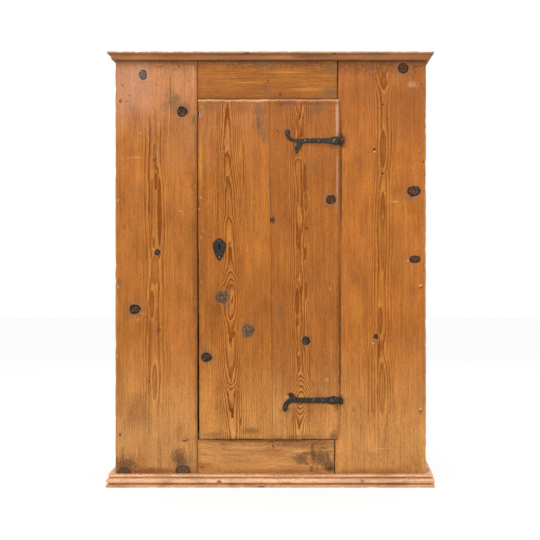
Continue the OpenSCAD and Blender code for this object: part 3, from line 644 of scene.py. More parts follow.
@dataclass(frozen=True)
class Iron:
    """Old iron, with its scale, its rust, its pits and the worn metal of its high spots."""

    name: str
    skin: Colour = (0.03, 0.023, 0.015)
    rust: Colour = (0.055, 0.036, 0.024)
    worn: Colour = (0.28, 0.25, 0.21)
    rust_share: float = 0.4
    worn_share: float = 0.42
    metallic: float = 0.5
    gloss: float = 0.46
    seed: float = 0.0

    def material(self) -> Material:
        """Builds the iron's material.

        Returns:
            The finished material.
        """
        shader = Shader.called(self.name)
        point = shader.place()
        shader.surface.inputs["Metallic"].default_value = self.metallic
        shader.surface.inputs["Specular IOR Level"].default_value = 0.25
        scale = cloud(point, (8, 8, 8), self.seed, 0.6, 4.0)
        pits = cloud(point, (4.4, 4.4, 4.4), self.seed + 4, 0.7, 3.0)
        colour = tinted(self.skin, self.rust, scale.ramp(0.35 - self.rust_share, 0.9))
        bright = (pits + scale.scaled(-0.2)).ramp(0.5 - self.worn_share, 0.85, 0.0, 0.75)
        colour = tinted(colour, self.worn, bright)
        colour = shaded(colour, cloud(point, (3, 3, 3), self.seed + 8, 0.3, 2.0) + 1.0)
        rough = (scale.scaled(0.12) + pits.scaled(0.08)).scaled(1.0, self.gloss)
        height = pits.scaled(0.5) + scale.scaled(0.8)
        return shader.finish(colour, rough, height, 0.4)


# Meshes

@dataclass(frozen=True)
class Wear:
    """How a piece has worn: its arrises' radius, how far its faces wander, and the waves' length.

    step is the length of the slices that carry the waves. The ripples on the waves are a share of
    their length and of their swing.
    """

    arris: float
    wander: float
    wave: float
    step: float
    seed: float = 0.0
    ripple: float = 0.22
    ripple_swing: float = 0.35


@dataclass(frozen=True)
class Chip:
    """A chip, dent or swell: its centre, its radius, and which way and how far it pushes the surface."""

    centre: Point
    radius: float
    push: Point


def prism(start: Sequence[Point], end: Sequence[Point]) -> BMesh:
    """Draws an outline out into a solid whose far end may have another outline.

    Args:
        start: the corners of the near end.
        end: the matching corners of the far end.

    Returns:
        The solid.
    """
    bm = bmesh.new()
    face = bm.faces.new([bm.verts.new(corner) for corner in start])
    made = bmesh.ops.extrude_face_region(bm, geom=[face])
    for vert in [item for item in made["geom"] if isinstance(item, BMVert)]:
        nearest = min(range(len(start)), key=lambda index: (Vector(start[index]) - vert.co).length)
        vert.co = end[nearest]
    bmesh.ops.recalc_face_normals(bm, faces=bm.faces)
    return bm


def slab(low: Point, high: Point) -> BMesh:
    """A plain board between two corners."""
    bm = bmesh.new()
    bmesh.ops.create_cube(bm, size=1.0)
    size = Vector(high) - Vector(low)
    bmesh.ops.scale(bm, vec=size, verts=bm.verts)
    bmesh.ops.translate(bm, vec=(Vector(low) + Vector(high)) / 2, verts=bm.verts)
    return bm


def soften(bm: BMesh, radius: float, segments: int = 3, least: float = 0.5,
           chosen: Callable[[BMEdge], bool] = lambda edge: True) -> None:
    """Rounds the sharp edges of a solid.

    Args:
        bm: the solid.
        radius: how far the rounding reaches from an edge.
        segments: how many facets it has.
        least: the smallest turn, in radians, that counts as sharp.
        chosen: says which of the sharp edges are rounded.
    """
    edges = [
        edge for edge in bm.edges
        if len(edge.link_faces) == 2 and edge.calc_face_angle(0.0) > least and chosen(edge)
    ]
    bmesh.ops.bevel(
        bm, geom=edges, offset=radius, offset_type="OFFSET", segments=segments, profile=0.5,
        affect="EDGES", material=-1, clamp_overlap=True,
    )


def sliced(bm: BMesh, axis: int, step: float) -> None:
    """Cuts a solid into short lengths along an axis, so that it can take slow waves."""
    places = [vert.co[axis] for vert in bm.verts]
    low, high = min(places), max(places)
    count = max(1, round((high - low) / step))
    normal = Vector((0.0, 0.0, 0.0))
    normal[axis] = 1.0
    for index in range(1, count):
        spot = normal * (low + (high - low) * index / count)
        geometry = [*bm.verts, *bm.edges, *bm.faces]
        bmesh.ops.bisect_plane(bm, geom=geometry, dist=0.001, plane_co=spot, plane_no=normal)


def weathered(bm: BMesh, wear: Wear, chips: Sequence[Chip] = ()) -> None:
    """Lets a solid's surface wander, and gives it its chips.

    Args:
        bm: the solid.
        wear: how far it wanders.
        chips: its chips, dents and swells.
    """
    offsets = [Vector((wear.seed + 17.3 * axis, 5.1 * axis, 9.7)) for axis in range(3)]
    for vert in bm.verts:
        slow = vert.co / wear.wave
        fast = vert.co / (wear.wave * wear.ripple)
        shift = [
            noise.noise(slow + offset) + wear.ripple_swing * noise.noise(fast + offset) for offset in offsets
        ]
        moved = vert.co + Vector(shift) * wear.wander
        for chip in chips:
            share = (vert.co - Vector(chip.centre)).length / chip.radius
            if share < 1.0:
                moved += Vector(chip.push) * (1 - share * share) ** 2
        vert.co = moved


def nicks(start: Point, end: Point, push: Point, count: int, seed: int, least: float = 4.0) -> list[Chip]:
    """Scatters small chips along an arris.

    Args:
        start: one end of the arris.
        end: its other end.
        push: which way and how far the largest chip pushes the surface in.
        count: how many chips there are.
        seed: picks their places.
        least: the smallest chip's radius.

    Returns:
        The chips.
    """
    growth = 16.0
    faintest = 0.35
    dice = random.Random(seed)
    chips = []
    for _ in range(count):
        spot = Vector(start).lerp(Vector(end), dice.random())
        size = dice.random() ** 2
        strength = faintest + (1.0 - faintest) * size
        chips.append(Chip(tuple(spot), least + growth * size, tuple(Vector(push) * strength)))
    return chips


def joined(first: BMesh, *others: BMesh) -> BMesh:
    """Puts several meshes into the first one."""
    for other in others:
        mesh = bpy.data.meshes.new("part")
        other.to_mesh(mesh)
        other.free()
        first.from_mesh(mesh)
        bpy.data.meshes.remove(mesh)
    return first


def cut_out(piece: Object, tool: BMesh) -> None:
    """Cuts a tool's shape out of a piece.

    Args:
        piece: the finished piece.
        tool: the solid that is taken away, in millimetres. It is used up.
    """
    bmesh.ops.scale(tool, vec=(MM, MM, MM), verts=tool.verts)
    bmesh.ops.recalc_face_normals(tool, faces=tool.faces)
    mesh = bpy.data.meshes.new("cutter")
    tool.to_mesh(mesh)
    tool.free()
    cutter = bpy.data.objects.new("cutter", mesh)
    bpy.context.scene.collection.objects.link(cutter)
    modifier = piece.modifiers.new("cut", "BOOLEAN")
    modifier.operation = "DIFFERENCE"
    modifier.solver = "EXACT"
    modifier.object = cutter
    bpy.context.view_layer.update()
    cut = bpy.data.meshes.new_from_object(piece.evaluated_get(bpy.context.evaluated_depsgraph_get()))
    piece.modifiers.clear()
    piece.data = cut
    bpy.data.objects.remove(cutter)
    bpy.data.meshes.remove(mesh)


@dataclass(frozen=True)
class Place:
    """Where a piece belongs: the body it rides on, its material slot and the node it stands for."""

    body: str
    slot: str
    node: str


def placed(bm: BMesh, name: str, place: Place, material: Material, crease: float = 38.0) -> Object:
    """Turns a mesh in millimetres into a piece of the cupboard.

    Args:
        bm: the mesh. It is used up.
        name: the piece's name.
        place: where it belongs.
        material: its finish.
        crease: the turn in degrees over which an edge stays crisp.

    Returns:
        The piece.
    """
    bmesh.ops.scale(bm, vec=(MM, MM, MM), verts=bm.verts)
    bmesh.ops.recalc_face_normals(bm, faces=bm.faces)
    for face in bm.faces:
        face.smooth = True
    mesh = bpy.data.meshes.new(name)
    bm.to_mesh(mesh)
    bm.free()
    mesh.set_sharp_from_angle(angle=math.radians(crease))
    mesh.materials.append(material)
    piece = bpy.data.objects.new(name, mesh)
    bpy.context.scene.collection.objects.link(piece)
    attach(piece, place.body)
    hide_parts(place.node)
    log.info("%s: %d faces on %s", name, len(mesh.polygons), place.body)
    return piece


def corners(node: str) -> tuple[Vector, Vector]:
    """The lowest and highest corner of a node of the frame, in millimetres."""
    low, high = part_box(node)
    return Vector(low) / MM, Vector(high) / MM


# The cupboard's shared sizes

@dataclass(frozen=True)
class Sizes:
    """The sizes that several pieces share, in step with the frame's nodes."""

    half_w: float = 612.0
    face_y: float = -218.0
    front_t: float = 22.0
    back_y: float = 250.0
    side_t: float = 26.0
    top_z: float = 1686.0
    stile_foot_x: float = 253.0
    stile_head_x: float = 266.0
    opening_x: float = -288.4
    door_front_y: float = -225.0
    door_back_y: float = -197.0
    door_foot_z: float = 185.0
    door_head_z: float = 1523.0
    hinge_x: float = 278.54
    hinge_y: float = -232.5
    pin_r: float = 3.45
    eye_r: float = 7.5
    eye_h: float = 14.0
    keyhole_x: float = -201.7
    keyhole_z: float = 949.0

    def stile_x(self, height: float) -> float:
        """Where the right stile's inner edge lies at a height."""
        return self.stile_foot_x + (self.stile_head_x - self.stile_foot_x) * height / self.top_z


SIZES = Sizes()


@dataclass
class FrontBoards:
    """The four fixed boards of the front."""

    rail_head_z: float = 182.0
    header_foot_z: float = 1525.0
    board_gap: float = 0.6
    end_gap: float = 3.2
    arris: float = 1.6
    cross_step: float = 26.0

    def board(self, name: str, outline: Sequence[Pair], axis: int, pine: Pine, wear: Wear,
              chips: Sequence[Chip] = ()) -> None:
        """Makes one board and puts it in place.

        Args:
            name: the node that it stands for.
            outline: its corners in X and Z.
            axis: the axis that it is long on.
            pine: its finish.
            wear: how it has worn.
            chips: its chips.
        """
        front, back = SIZES.face_y, SIZES.face_y + SIZES.front_t
        bm = prism([(x, front, z) for x, z in outline], [(x, back, z) for x, z in outline])
        soften(bm, wear.arris)
        sliced(bm, axis, wear.step)
        sliced(bm, 2 - axis, self.cross_step)
        weathered(bm, wear, chips)
        placed(bm, f"{name}_plank", Place("carcass", "front_pine", name), pine.material())

    def build(self) -> None:
        """Makes the stiles, the header and the bottom rail."""
        left, foot, head = SIZES.opening_x, SIZES.stile_foot_x, SIZES.stile_head_x
        outer, face, top = SIZES.half_w, SIZES.face_y, SIZES.top_z
        self.board(
            "left_stile", [(-outer, 0), (left, 0), (left, top), (-outer, top)], 2,
            LEFT_STILE, Wear(self.arris, 0.7, 90, 8, 1.0),
            (
                *nicks((-outer, face, 50), (-outer, face, 1670), (1.0, 0.8, 0), 50, 1),
                *nicks((left, face, 50), (left, face, 1670), (-0.5, 0.8, 0), 24, 2),
                Chip((-outer, face, 1240), 26, (2.2, 1.0, 0)), Chip((-outer, face, 806), 18, (2.0, 0.8, 0)),
                Chip((-outer, face, 560), 34, (1.6, 0.8, 0)), Chip((-outer, face, 1560), 22, (2.0, 1.0, 0)),
            ),
        )
        self.board(
            "right_stile", [(foot, 0), (outer, 0), (outer, top), (head, top)], 2,
            RIGHT_STILE, Wear(self.arris, 0.7, 90, 8, 2.0),
            (
                *nicks((outer, face, 50), (outer, face, 1670), (-1.2, 0.9, 0), 60, 3),
                *nicks((256, face, 190), (265, face, 1520), (0.8, 1.0, 0), 30, 4, 7.0),
                Chip((outer, face, 1255), 34, (-2.8, 1.2, 0)), Chip((outer, face, 1180), 22, (-2.0, 1.0, 0)),
                Chip((outer, face, 640), 30, (-1.8, 1.0, 0)), Chip((outer, face, 142), 20, (-5.5, 2.4, 0)),
                Chip((outer, face, 1400), 18, (-1.8, 1.0, 0)), Chip((outer, face, 930), 24, (-1.8, 1.0, 0)),
            ),
        )
        start = left + self.board_gap
        low = self.header_foot_z
        end = SIZES.stile_x(low) - self.end_gap
        self.board(
            "header_board", [(start, low), (end, low), (head - self.end_gap, top), (start, top)],
            0, HEADER, Wear(self.arris, 0.5, 90, 12, 3.0),
        )
        high = self.rail_head_z
        end = SIZES.stile_x(high) - self.end_gap
        self.board(
            "bottom_rail", [(start, 0), (foot - self.end_gap, 0), (end, high), (start, high)],
            0, BOTTOM_RAIL, Wear(self.arris, 0.6, 90, 12, 4.0),
        )


@dataclass
class Carcass:
    """The sides, roof, floor, back, shelves and cleats."""

    rebate: float = 13.0
    back_t: float = 12.0
    wear: Wear = Wear(1.4, 0.35, 110, 40)

    def build(self) -> None:
        """Makes every board behind the front."""
        for side, sign in (("left", -1.0), ("right", 1.0)):
            knots = SIDE_KNOTS[side]
            pine = self.side_pine(f"{side}_side_pine", sign, (-95.0, -80.0), (-196, 17), 20.0, knots)
            self.from_box(f"{side}_side_front_board", 2, "front_pine", pine, 5.0 + sign)
            self.rear_board(side, sign)
        for name, heart, seed in (("roof_front_board", -110.0, 31.0), ("roof_rear_board", 140.0, 33.0)):
            pine = Pine(f"{name}_pine", Grain.FLAT, heart=(heart, heart), seed=seed, inward=ROOF_DRY)
            self.from_box(name, 0, "front_pine", pine, seed)
        inside = dry_pine("inside_level_pine", Grain.FLAT, heart=(-20.0, 40.0), seed=41.0, contrast=0.6)
        for name in ("floor_front_board", "floor_rear_board", "lower_shelf", "middle_shelf", "upper_shelf"):
            self.from_box(name, 0, "inside_pine", inside, len(name))
        for index, (aside, lean, knot) in enumerate(BACK_BOARDS, start=1):
            node = f"back_board_{index}"
            low, high = corners(node)
            middle = (low.x + high.x) / 2
            upright = dry_pine(
                f"{node}_pine", heart=(middle + aside, middle + aside + lean), seed=46.0 + 3 * index,
                contrast=0.7, span=34.0, wander=0.5, grime=0.55,
                edges=Edges((low.x, low.x), (high.x, high.x), 0, SIZES.top_z),
                knots=(Knot(middle + knot[0], knot[1], knot[2], DULL),),
            )
            self.from_box(node, 2, "inside_pine", upright, 50.0 + index)
        batten = dry_pine("batten_pine", Grain.LEVEL, heart=(900.0, 900.0), seed=53.0, contrast=0.5)
        self.from_box("head_stop", 0, "inside_pine", batten, 57.0)
        cleat = dry_pine("cleat_pine", Grain.LEVEL_SIDEWAYS, heart=(900.0, 900.0), seed=59.0, contrast=0.5)
        for level in ("lower", "middle", "upper"):
            for side in ("left", "right"):
                self.from_box(f"{level}_{side}_cleat", 1, "inside_pine", cleat, 60.0 + len(level + side))

    def from_box(self, node: str, axis: int, slot: str, pine: Pine, seed: float) -> None:
        """Makes a plain board in the place of a node.

        Args:
            node: the node that it stands for.
            axis: the axis that it is long on.
            slot: its material slot.
            pine: its finish.
            seed: picks its wear.
        """
        self.finish(slab(*corners(node)), node, axis, slot, pine, replace(self.wear, seed=seed))

    def finish(self, bm: BMesh, node: str, axis: int, slot: str, pine: Pine, wear: Wear) -> None:
        """Wears a board and puts it in the place of a node."""
        soften(bm, wear.arris)
        sliced(bm, axis, wear.step)
        weathered(bm, wear)
        placed(bm, f"{node}_plank", Place("carcass", slot, node), shared(pine))

    def side_pine(self, name: str, sign: float, heart: Pair, ends: Pair, seed: float,
                  knots: tuple[Knot, ...] = ()) -> Pine:
        """The pine of a side's board, from its figure's middle and the Y of its front and back."""
        front, back = ends
        return Pine(
            name, Grain.UP_SIDEWAYS, heart=heart, seed=seed + sign, knots=knots, grime=0.4, contrast=0.65,
            edges=Edges((front, front), (back, back), 0, SIZES.top_z),
            inward=(sign * SIDE_DRY[0], sign * SIDE_DRY[1]),
        )

    def rear_board(self, side: str, sign: float) -> None:
        """Makes a side's rear board, with its rebate for the back."""
        node = f"{side}_side_rear_board"
        low, high = corners(node)
        outer = sign * SIZES.half_w
        inner = sign * (SIZES.half_w - SIZES.side_t)
        step = sign * (SIZES.half_w - self.rebate)
        plan = [
            (outer, low.y), (outer, SIZES.back_y), (step, SIZES.back_y),
            (step, SIZES.back_y - self.back_t), (inner, SIZES.back_y - self.back_t), (inner, low.y),
        ]
        bm = prism([(x, y, low.z) for x, y in plan], [(x, y, high.z) for x, y in plan])
        pine = self.side_pine(f"{side}_side_rear_pine", sign, (110.0, 150.0), (18, 250), 26.0)
        self.finish(bm, node, 2, "front_pine", pine, replace(self.wear, arris=1.3, seed=9.0 + sign))


MADE: dict[str, Material] = {}


def shared(finish: "Pine | Iron") -> Material:
    """A finish's material, made once."""
    if finish.name not in MADE:
        MADE[finish.name] = finish.material()
    return MADE[finish.name]


def spun(bm: BMesh, start: BMVert, centre: Sequence[float], degrees: float, steps: int) -> list[BMVert]:
    """Sweeps a corner of a section round a centre.

    Args:
        bm: the mesh that the section is drawn in, on the XY plane.
        start: the corner.
        centre: the arc's centre.
        degrees: how far it goes round, anticlockwise.
        steps: how many facets the arc has.

    Returns:
        The arc's corners in order, without the first one.
    """
    before = set(bm.verts)
    bmesh.ops.spin(
        bm, geom=[start], cent=(centre[0], centre[1], 0.0), axis=(0.0, 0.0, 1.0), dvec=(0.0, 0.0, 0.0),
        angle=math.radians(degrees), steps=steps, use_merge=False, use_duplicate=False,
    )
    made = [vert for vert in bm.verts if vert not in before]
    middle = Vector((centre[0], centre[1], 0.0))
    turn = start.co - middle
    sign = 1 if degrees > 0 else -1

    def swept(vert: BMVert) -> float:
        """How far round the arc a corner lies."""
        arm = vert.co - middle
        angle = math.atan2(turn.x * arm.y - turn.y * arm.x, turn.x * arm.x + turn.y * arm.y)
        return (sign * angle) % math.tau

    return sorted(made, key=swept)


@dataclass
class Moulding:
    """A moulding that runs round the front and both sides, mitred at its corners."""

    name: str
    slot: str
    foot_z: float
    wear: Wear
    section: Callable[[], list[Pair]]
    pine: Pine
    chips: tuple[Chip, ...]

    def corner(self, sign: float, point: Pair, y: float | None = None) -> Point:
        """A corner of the section at a mitre, or square at the back if y is given."""
        out, up = point
        depth = SIZES.face_y - out if y is None else y
        return (sign * (SIZES.half_w + out), depth, self.foot_z + up)

    def build(self) -> None:
        """Makes the front length and the two returns."""
        outline = self.section()
        left, right = ([self.corner(sign, point) for point in outline] for sign in (-1.0, 1.0))
        self.finish(prism(left, right), "front", 0, self.pine)
        for side, sign, near in (("left", -1.0, left), ("right", 1.0, right)):
            far = [self.corner(sign, point, SIZES.back_y) for point in outline]
            self.finish(prism(near, far), side, 1, self.turned(side))

    def turned(self, side: str) -> Pine:
        """The same pine with its grain along a return."""
        return replace(
            self.pine, name=f"{self.pine.name}_{side}", grain=Grain.LEVEL_SIDEWAYS, knots=(), marks=(),
            seed=self.pine.seed + len(side),
        )

    def finish(self, bm: BMesh, side: str, axis: int, pine: Pine) -> None:
        """Wears a length and puts it in place."""
        soften(bm, self.wear.arris, least=0.7)
        sliced(bm, axis, self.wear.step)
        weathered(bm, self.wear, self.chips if side == "front" else ())
        name = f"{self.name}_{side}"
        placed(bm, f"{name}_length", Place("carcass", self.slot, name), pine.material())


def cornice_section() -> list[Pair]:
    """The cornice's section: a small foot, a shallow cove and a fillet over it, as out and up."""
    foot, nose, centre = (14.0, 3.5), (26.0, 22.0), (39.3, 0.2)
    fillet, top = 28.0, 31.0
    bm = bmesh.new()
    start = bm.verts.new((*foot, 0.0))
    arm = Vector(foot) - Vector(centre)
    reached = Vector(nose) - Vector(centre)
    sweep = math.atan2(reached.y, reached.x) - math.atan2(arm.y, arm.x)
    cove = spun(bm, start, centre, math.degrees(sweep), 8)
    points = [(0.0, 0.0), (foot[0] - 1.0, 0.0), foot, *((vert.co.x, vert.co.y) for vert in cove)]
    bm.free()
    return [*points, (fillet, nose[1]), (fillet, top), (0.0, top)]


def base_section() -> list[Pair]:
    """The base moulding's section: a fillet, a torus between quirks, and a narrow top fillet."""
    centre, radius = (23.5, 25.0), 9.0
    low, high = centre[1] - radius, centre[1] + radius
    foot_out, foot_top, quirk, high_quirk = 32.0, 10.0, 21.5, 19.0
    head_out, head_foot, top = 25.0, 41.5, 50.0
    bm = bmesh.new()
    start = bm.verts.new((centre[0], low, 0.0))
    torus = spun(bm, start, centre, 180.0, 12)
    points = [
        (0.0, 0.0), (foot_out, 0.0), (foot_out, foot_top), (quirk, foot_top), (quirk, low), (centre[0], low),
        *((vert.co.x, vert.co.y) for vert in torus),
        (high_quirk, high), (high_quirk, head_foot), (head_out, head_foot), (head_out, top), (0.0, top),
    ]
    bm.free()
    return points


@dataclass
class Door:
    """The door's two planks and two ledges.

    The X of a plank's edges is given at its foot and at its head. lap_round is the worn edge of the
    lap over the right stile, as distances from the plank's edge and from its face.
    """

    lock_edge: Pair = (-281.0, -286.0)
    left_joint: Pair = (8.7, -4.3)
    right_joint: Pair = (9.3, -3.7)
    shoulder: Pair = (251.4, 261.7)
    hinge_edge: Pair = (266.0, 270.7)
    lap_round: tuple[Pair, ...] = ((18.0, 0.0), (9.0, 0.7), (3.2, 2.1), (0.4, 3.9), (0.1, 6.5))
    foot_drop: float = 1.3
    head_rise: float = 0.8
    head_round: float = 5.0
    ledge_round: float = 7.0
    joint_span: Pair = (-6.0, 11.0)
    joint_round: float = 0.5
    cross_step: float = 22.0

    def build(self) -> None:
        """Makes the planks and the ledges."""
        front, back = SIZES.door_front_y, SIZES.door_back_y
        middle = (front + back) / 2
        foot, head = SIZES.door_foot_z, SIZES.door_head_z
        ends = (foot - self.foot_drop, head + self.head_rise)
        left = prism(*(
            [(x, y, z) for x, y in ((edge, front), (joint, front), (joint, back), (edge, back))]
            for edge, joint, z in zip(self.lock_edge, self.left_joint, ends)
        ))
        self.plank(left, "door_left_plank", DOOR_LEFT, 11.0, (
            *nicks((-281, front, 190), (-286, front, 1520), (0.9, 1.2, 0), 40, 5),
            *nicks((-280, front, head), (-10, front, head), (0, 1.0, -1.1), 20, 6),
            *nicks((-275, front, foot), (0, front, foot), (0, 1.0, 1.0), 14, 7),
            Chip((-286, front, 1465), 20, (4.5, 4.0, 0)), Chip((-282, front, 1120), 50, (1.0, 1.4, 0)),
            Chip((-160, front, head), 40, (0, 0.8, -1.4)), Chip((-60, front, foot), 60, (0, 0.8, 1.8)),
            Chip((-4, front, 1048), 13, (-3.5, 4.0, 0)), Chip((-220, front, foot), 30, (0, 0.8, 1.4)),
            Chip((-286, middle, 1340), 170, (-1.0, 0, 0)), Chip((-286, middle, 1180), 190, (-1.6, 0, 0)),
            Chip((-285, middle, 1020), 150, (-0.9, 0, 0)),
        ))
        right = prism(*(
            [(*point, z) for point in self.lapped(joint, shoulder, edge)]
            for joint, shoulder, edge, z in zip(self.right_joint, self.shoulder, self.hinge_edge, ends)
        ))
        self.plank(right, "door_right_plank", DOOR_RIGHT, 12.0, (
            *nicks((268, front, 200), (271, front, 1500), (-0.9, 1.2, 0), 40, 8),
            *nicks((0, front, head), (260, front, head), (0, 1.0, -1.1), 20, 9),
            *nicks((15, front, foot), (255, front, foot), (0, 1.0, 1.0), 14, 10),
            Chip((266, front, 210), 34, (-2.4, 1.0, 0)), Chip((268, front, 1090), 40, (-1.8, 0.6, 0)),
            Chip((-1, front, 1048), 12, (3.0, 4.0, 0)), Chip((150, front, foot), 50, (0, 0.8, 1.8)),
        ))
        for level in ("upper", "lower"):
            self.ledge(f"door_{level}_ledge")

    def ledge(self, node: str) -> None:
        """Makes a ledge, with its inner edges rounded further than the others."""
        bottom, top = corners(node)
        bm = slab(bottom, top)
        inner_face = top.y - 0.5
        wear = Wear(1.2, 0.45, 70, 24, bottom.z)
        soften(bm, self.ledge_round, chosen=lambda edge: min(vert.co.y for vert in edge.verts) > inner_face)
        soften(bm, wear.arris, 2)
        sliced(bm, 0, wear.step)
        weathered(bm, wear)
        placed(bm, f"{node}_board", Place("door", "inside_pine", node), shared(LEDGE))

    def lapped(self, joint: float, shoulder: float, edge: float) -> list[Pair]:
        """The right plank's plan from its joint, its lap's shoulder and its edge."""
        front, back = SIZES.door_front_y, SIZES.door_back_y
        worn = [(edge - aside, front + deep) for aside, deep in self.lap_round]
        return [(joint, front), *worn, (shoulder, worn[-1][1]), (shoulder, back), (joint, back)]

    def plank(self, bm: BMesh, node: str, pine: Pine, seed: float, chips: Sequence[Chip]) -> None:
        """Wears a plank and puts it in place, with the keyhole cut through the left one.

        Args:
            bm: the plank's solid.
            node: the node that it stands for.
            pine: its finish.
            seed: picks its wear.
            chips: its chips.
        """
        wear = Wear(1.5, 0.75, 70, 8, seed)
        front = SIZES.door_front_y + 4.5
        top = SIZES.door_head_z - 0.5
        low, high = self.joint_span

        def on_head(edge: BMEdge) -> bool:
            """Whether an edge is on the front of the head."""
            return all(vert.co.z > top and vert.co.y < front for vert in edge.verts)

        def in_joint(edge: BMEdge, spare: float = 0.0) -> bool:
            """Whether an edge lies in the joint between the planks."""
            return all(low - spare < vert.co.x < high + spare for vert in edge.verts)

        soften(bm, self.head_round, 4, chosen=on_head)
        soften(bm, self.joint_round, 2, chosen=in_joint)
        soften(bm, wear.arris, chosen=lambda edge: not in_joint(edge, 1.0))
        sliced(bm, 2, wear.step)
        sliced(bm, 0, self.cross_step)
        weathered(bm, wear, chips)
        piece = placed(bm, f"{node}_wood", Place("door", "door_pine", node), pine.material())
        if node == "door_left_plank":
            cut_out(piece, keyhole_tool(SIZES.door_front_y - 2, SIZES.door_back_y + 2, 0.3))


def keyhole_tool(near: float, far: float, spare: float = 0.0) -> BMesh:
    """A keyhole as a solid: a round head, a slot and a round foot.

    Args:
        near: the Y of its front end.
        far: the Y of its back end.
        spare: how much wider it is cut all round.

    Returns:
        The solid.
    """
    head_r, foot_r, half_slot, drop = 3.75 + spare, 4.25 + spare, 2.5 + spare, 11.3
    bm = bmesh.new()
    start = bm.verts.new((half_slot, -math.sqrt(head_r ** 2 - half_slot ** 2), 0.0))
    head = spun(bm, start, (0.0, 0.0), 360 - 2 * math.degrees(math.asin(half_slot / head_r)), 20)
    rise = math.sqrt(foot_r ** 2 - half_slot ** 2)
    low = bm.verts.new((-half_slot, -drop + rise, 0.0))
    foot = spun(bm, low, (0.0, -drop), 360 - 2 * math.degrees(math.asin(half_slot / foot_r)), 20)
    outline = [(vert.co.x, vert.co.y) for vert in [start, *head, low, *foot]]
    bm.free()
    x, z = SIZES.keyhole_x, SIZES.keyhole_z
    return prism([(x + u, near, z + v) for u, v in outline], [(x + u, far, z + v) for u, v in outline])


def nail_head(centre: Point, radius: float, height: float, seed: float, shank: float) -> BMesh:
    """A hammered nail with a faceted head, driven towards +Y.

    Args:
        centre: the middle of the head's seat.
        radius: the head's radius.
        height: how far it stands up.
        seed: picks its facets.
        shank: the length of its shank.

    Returns:
        The nail.
    """
    bm = bmesh.new()
    bmesh.ops.create_icosphere(bm, subdivisions=2, radius=1.0)
    for vert in bm.verts:
        rough = 1 + 0.16 * noise.noise(vert.co * 1.7 + Vector((seed, seed * 2.3, 1.0)))
        seated = min(vert.co.y, 0.12)
        vert.co = Vector((vert.co.x * rough * radius, seated * height * rough, vert.co.z * rough * radius))
    stem = bmesh.new()
    bmesh.ops.create_cone(stem, cap_ends=True, segments=6, radius1=1.9, radius2=1.2, depth=shank)
    level = Matrix.Rotation(math.radians(-90), 3, "X")
    bmesh.ops.rotate(stem, cent=(0, 0, 0), matrix=level, verts=stem.verts)
    bmesh.ops.translate(stem, vec=(0, shank / 2, 0), verts=stem.verts)
    whole = joined(bm, stem)
    bmesh.ops.translate(whole, vec=centre, verts=whole.verts)
    return whole


@dataclass(frozen=True)
class Station:
    """A place on a forged bar's middle line: u and v, its heading, half width and thickness."""

    u: float
    v: float
    heading: float
    half: float
    thick: float


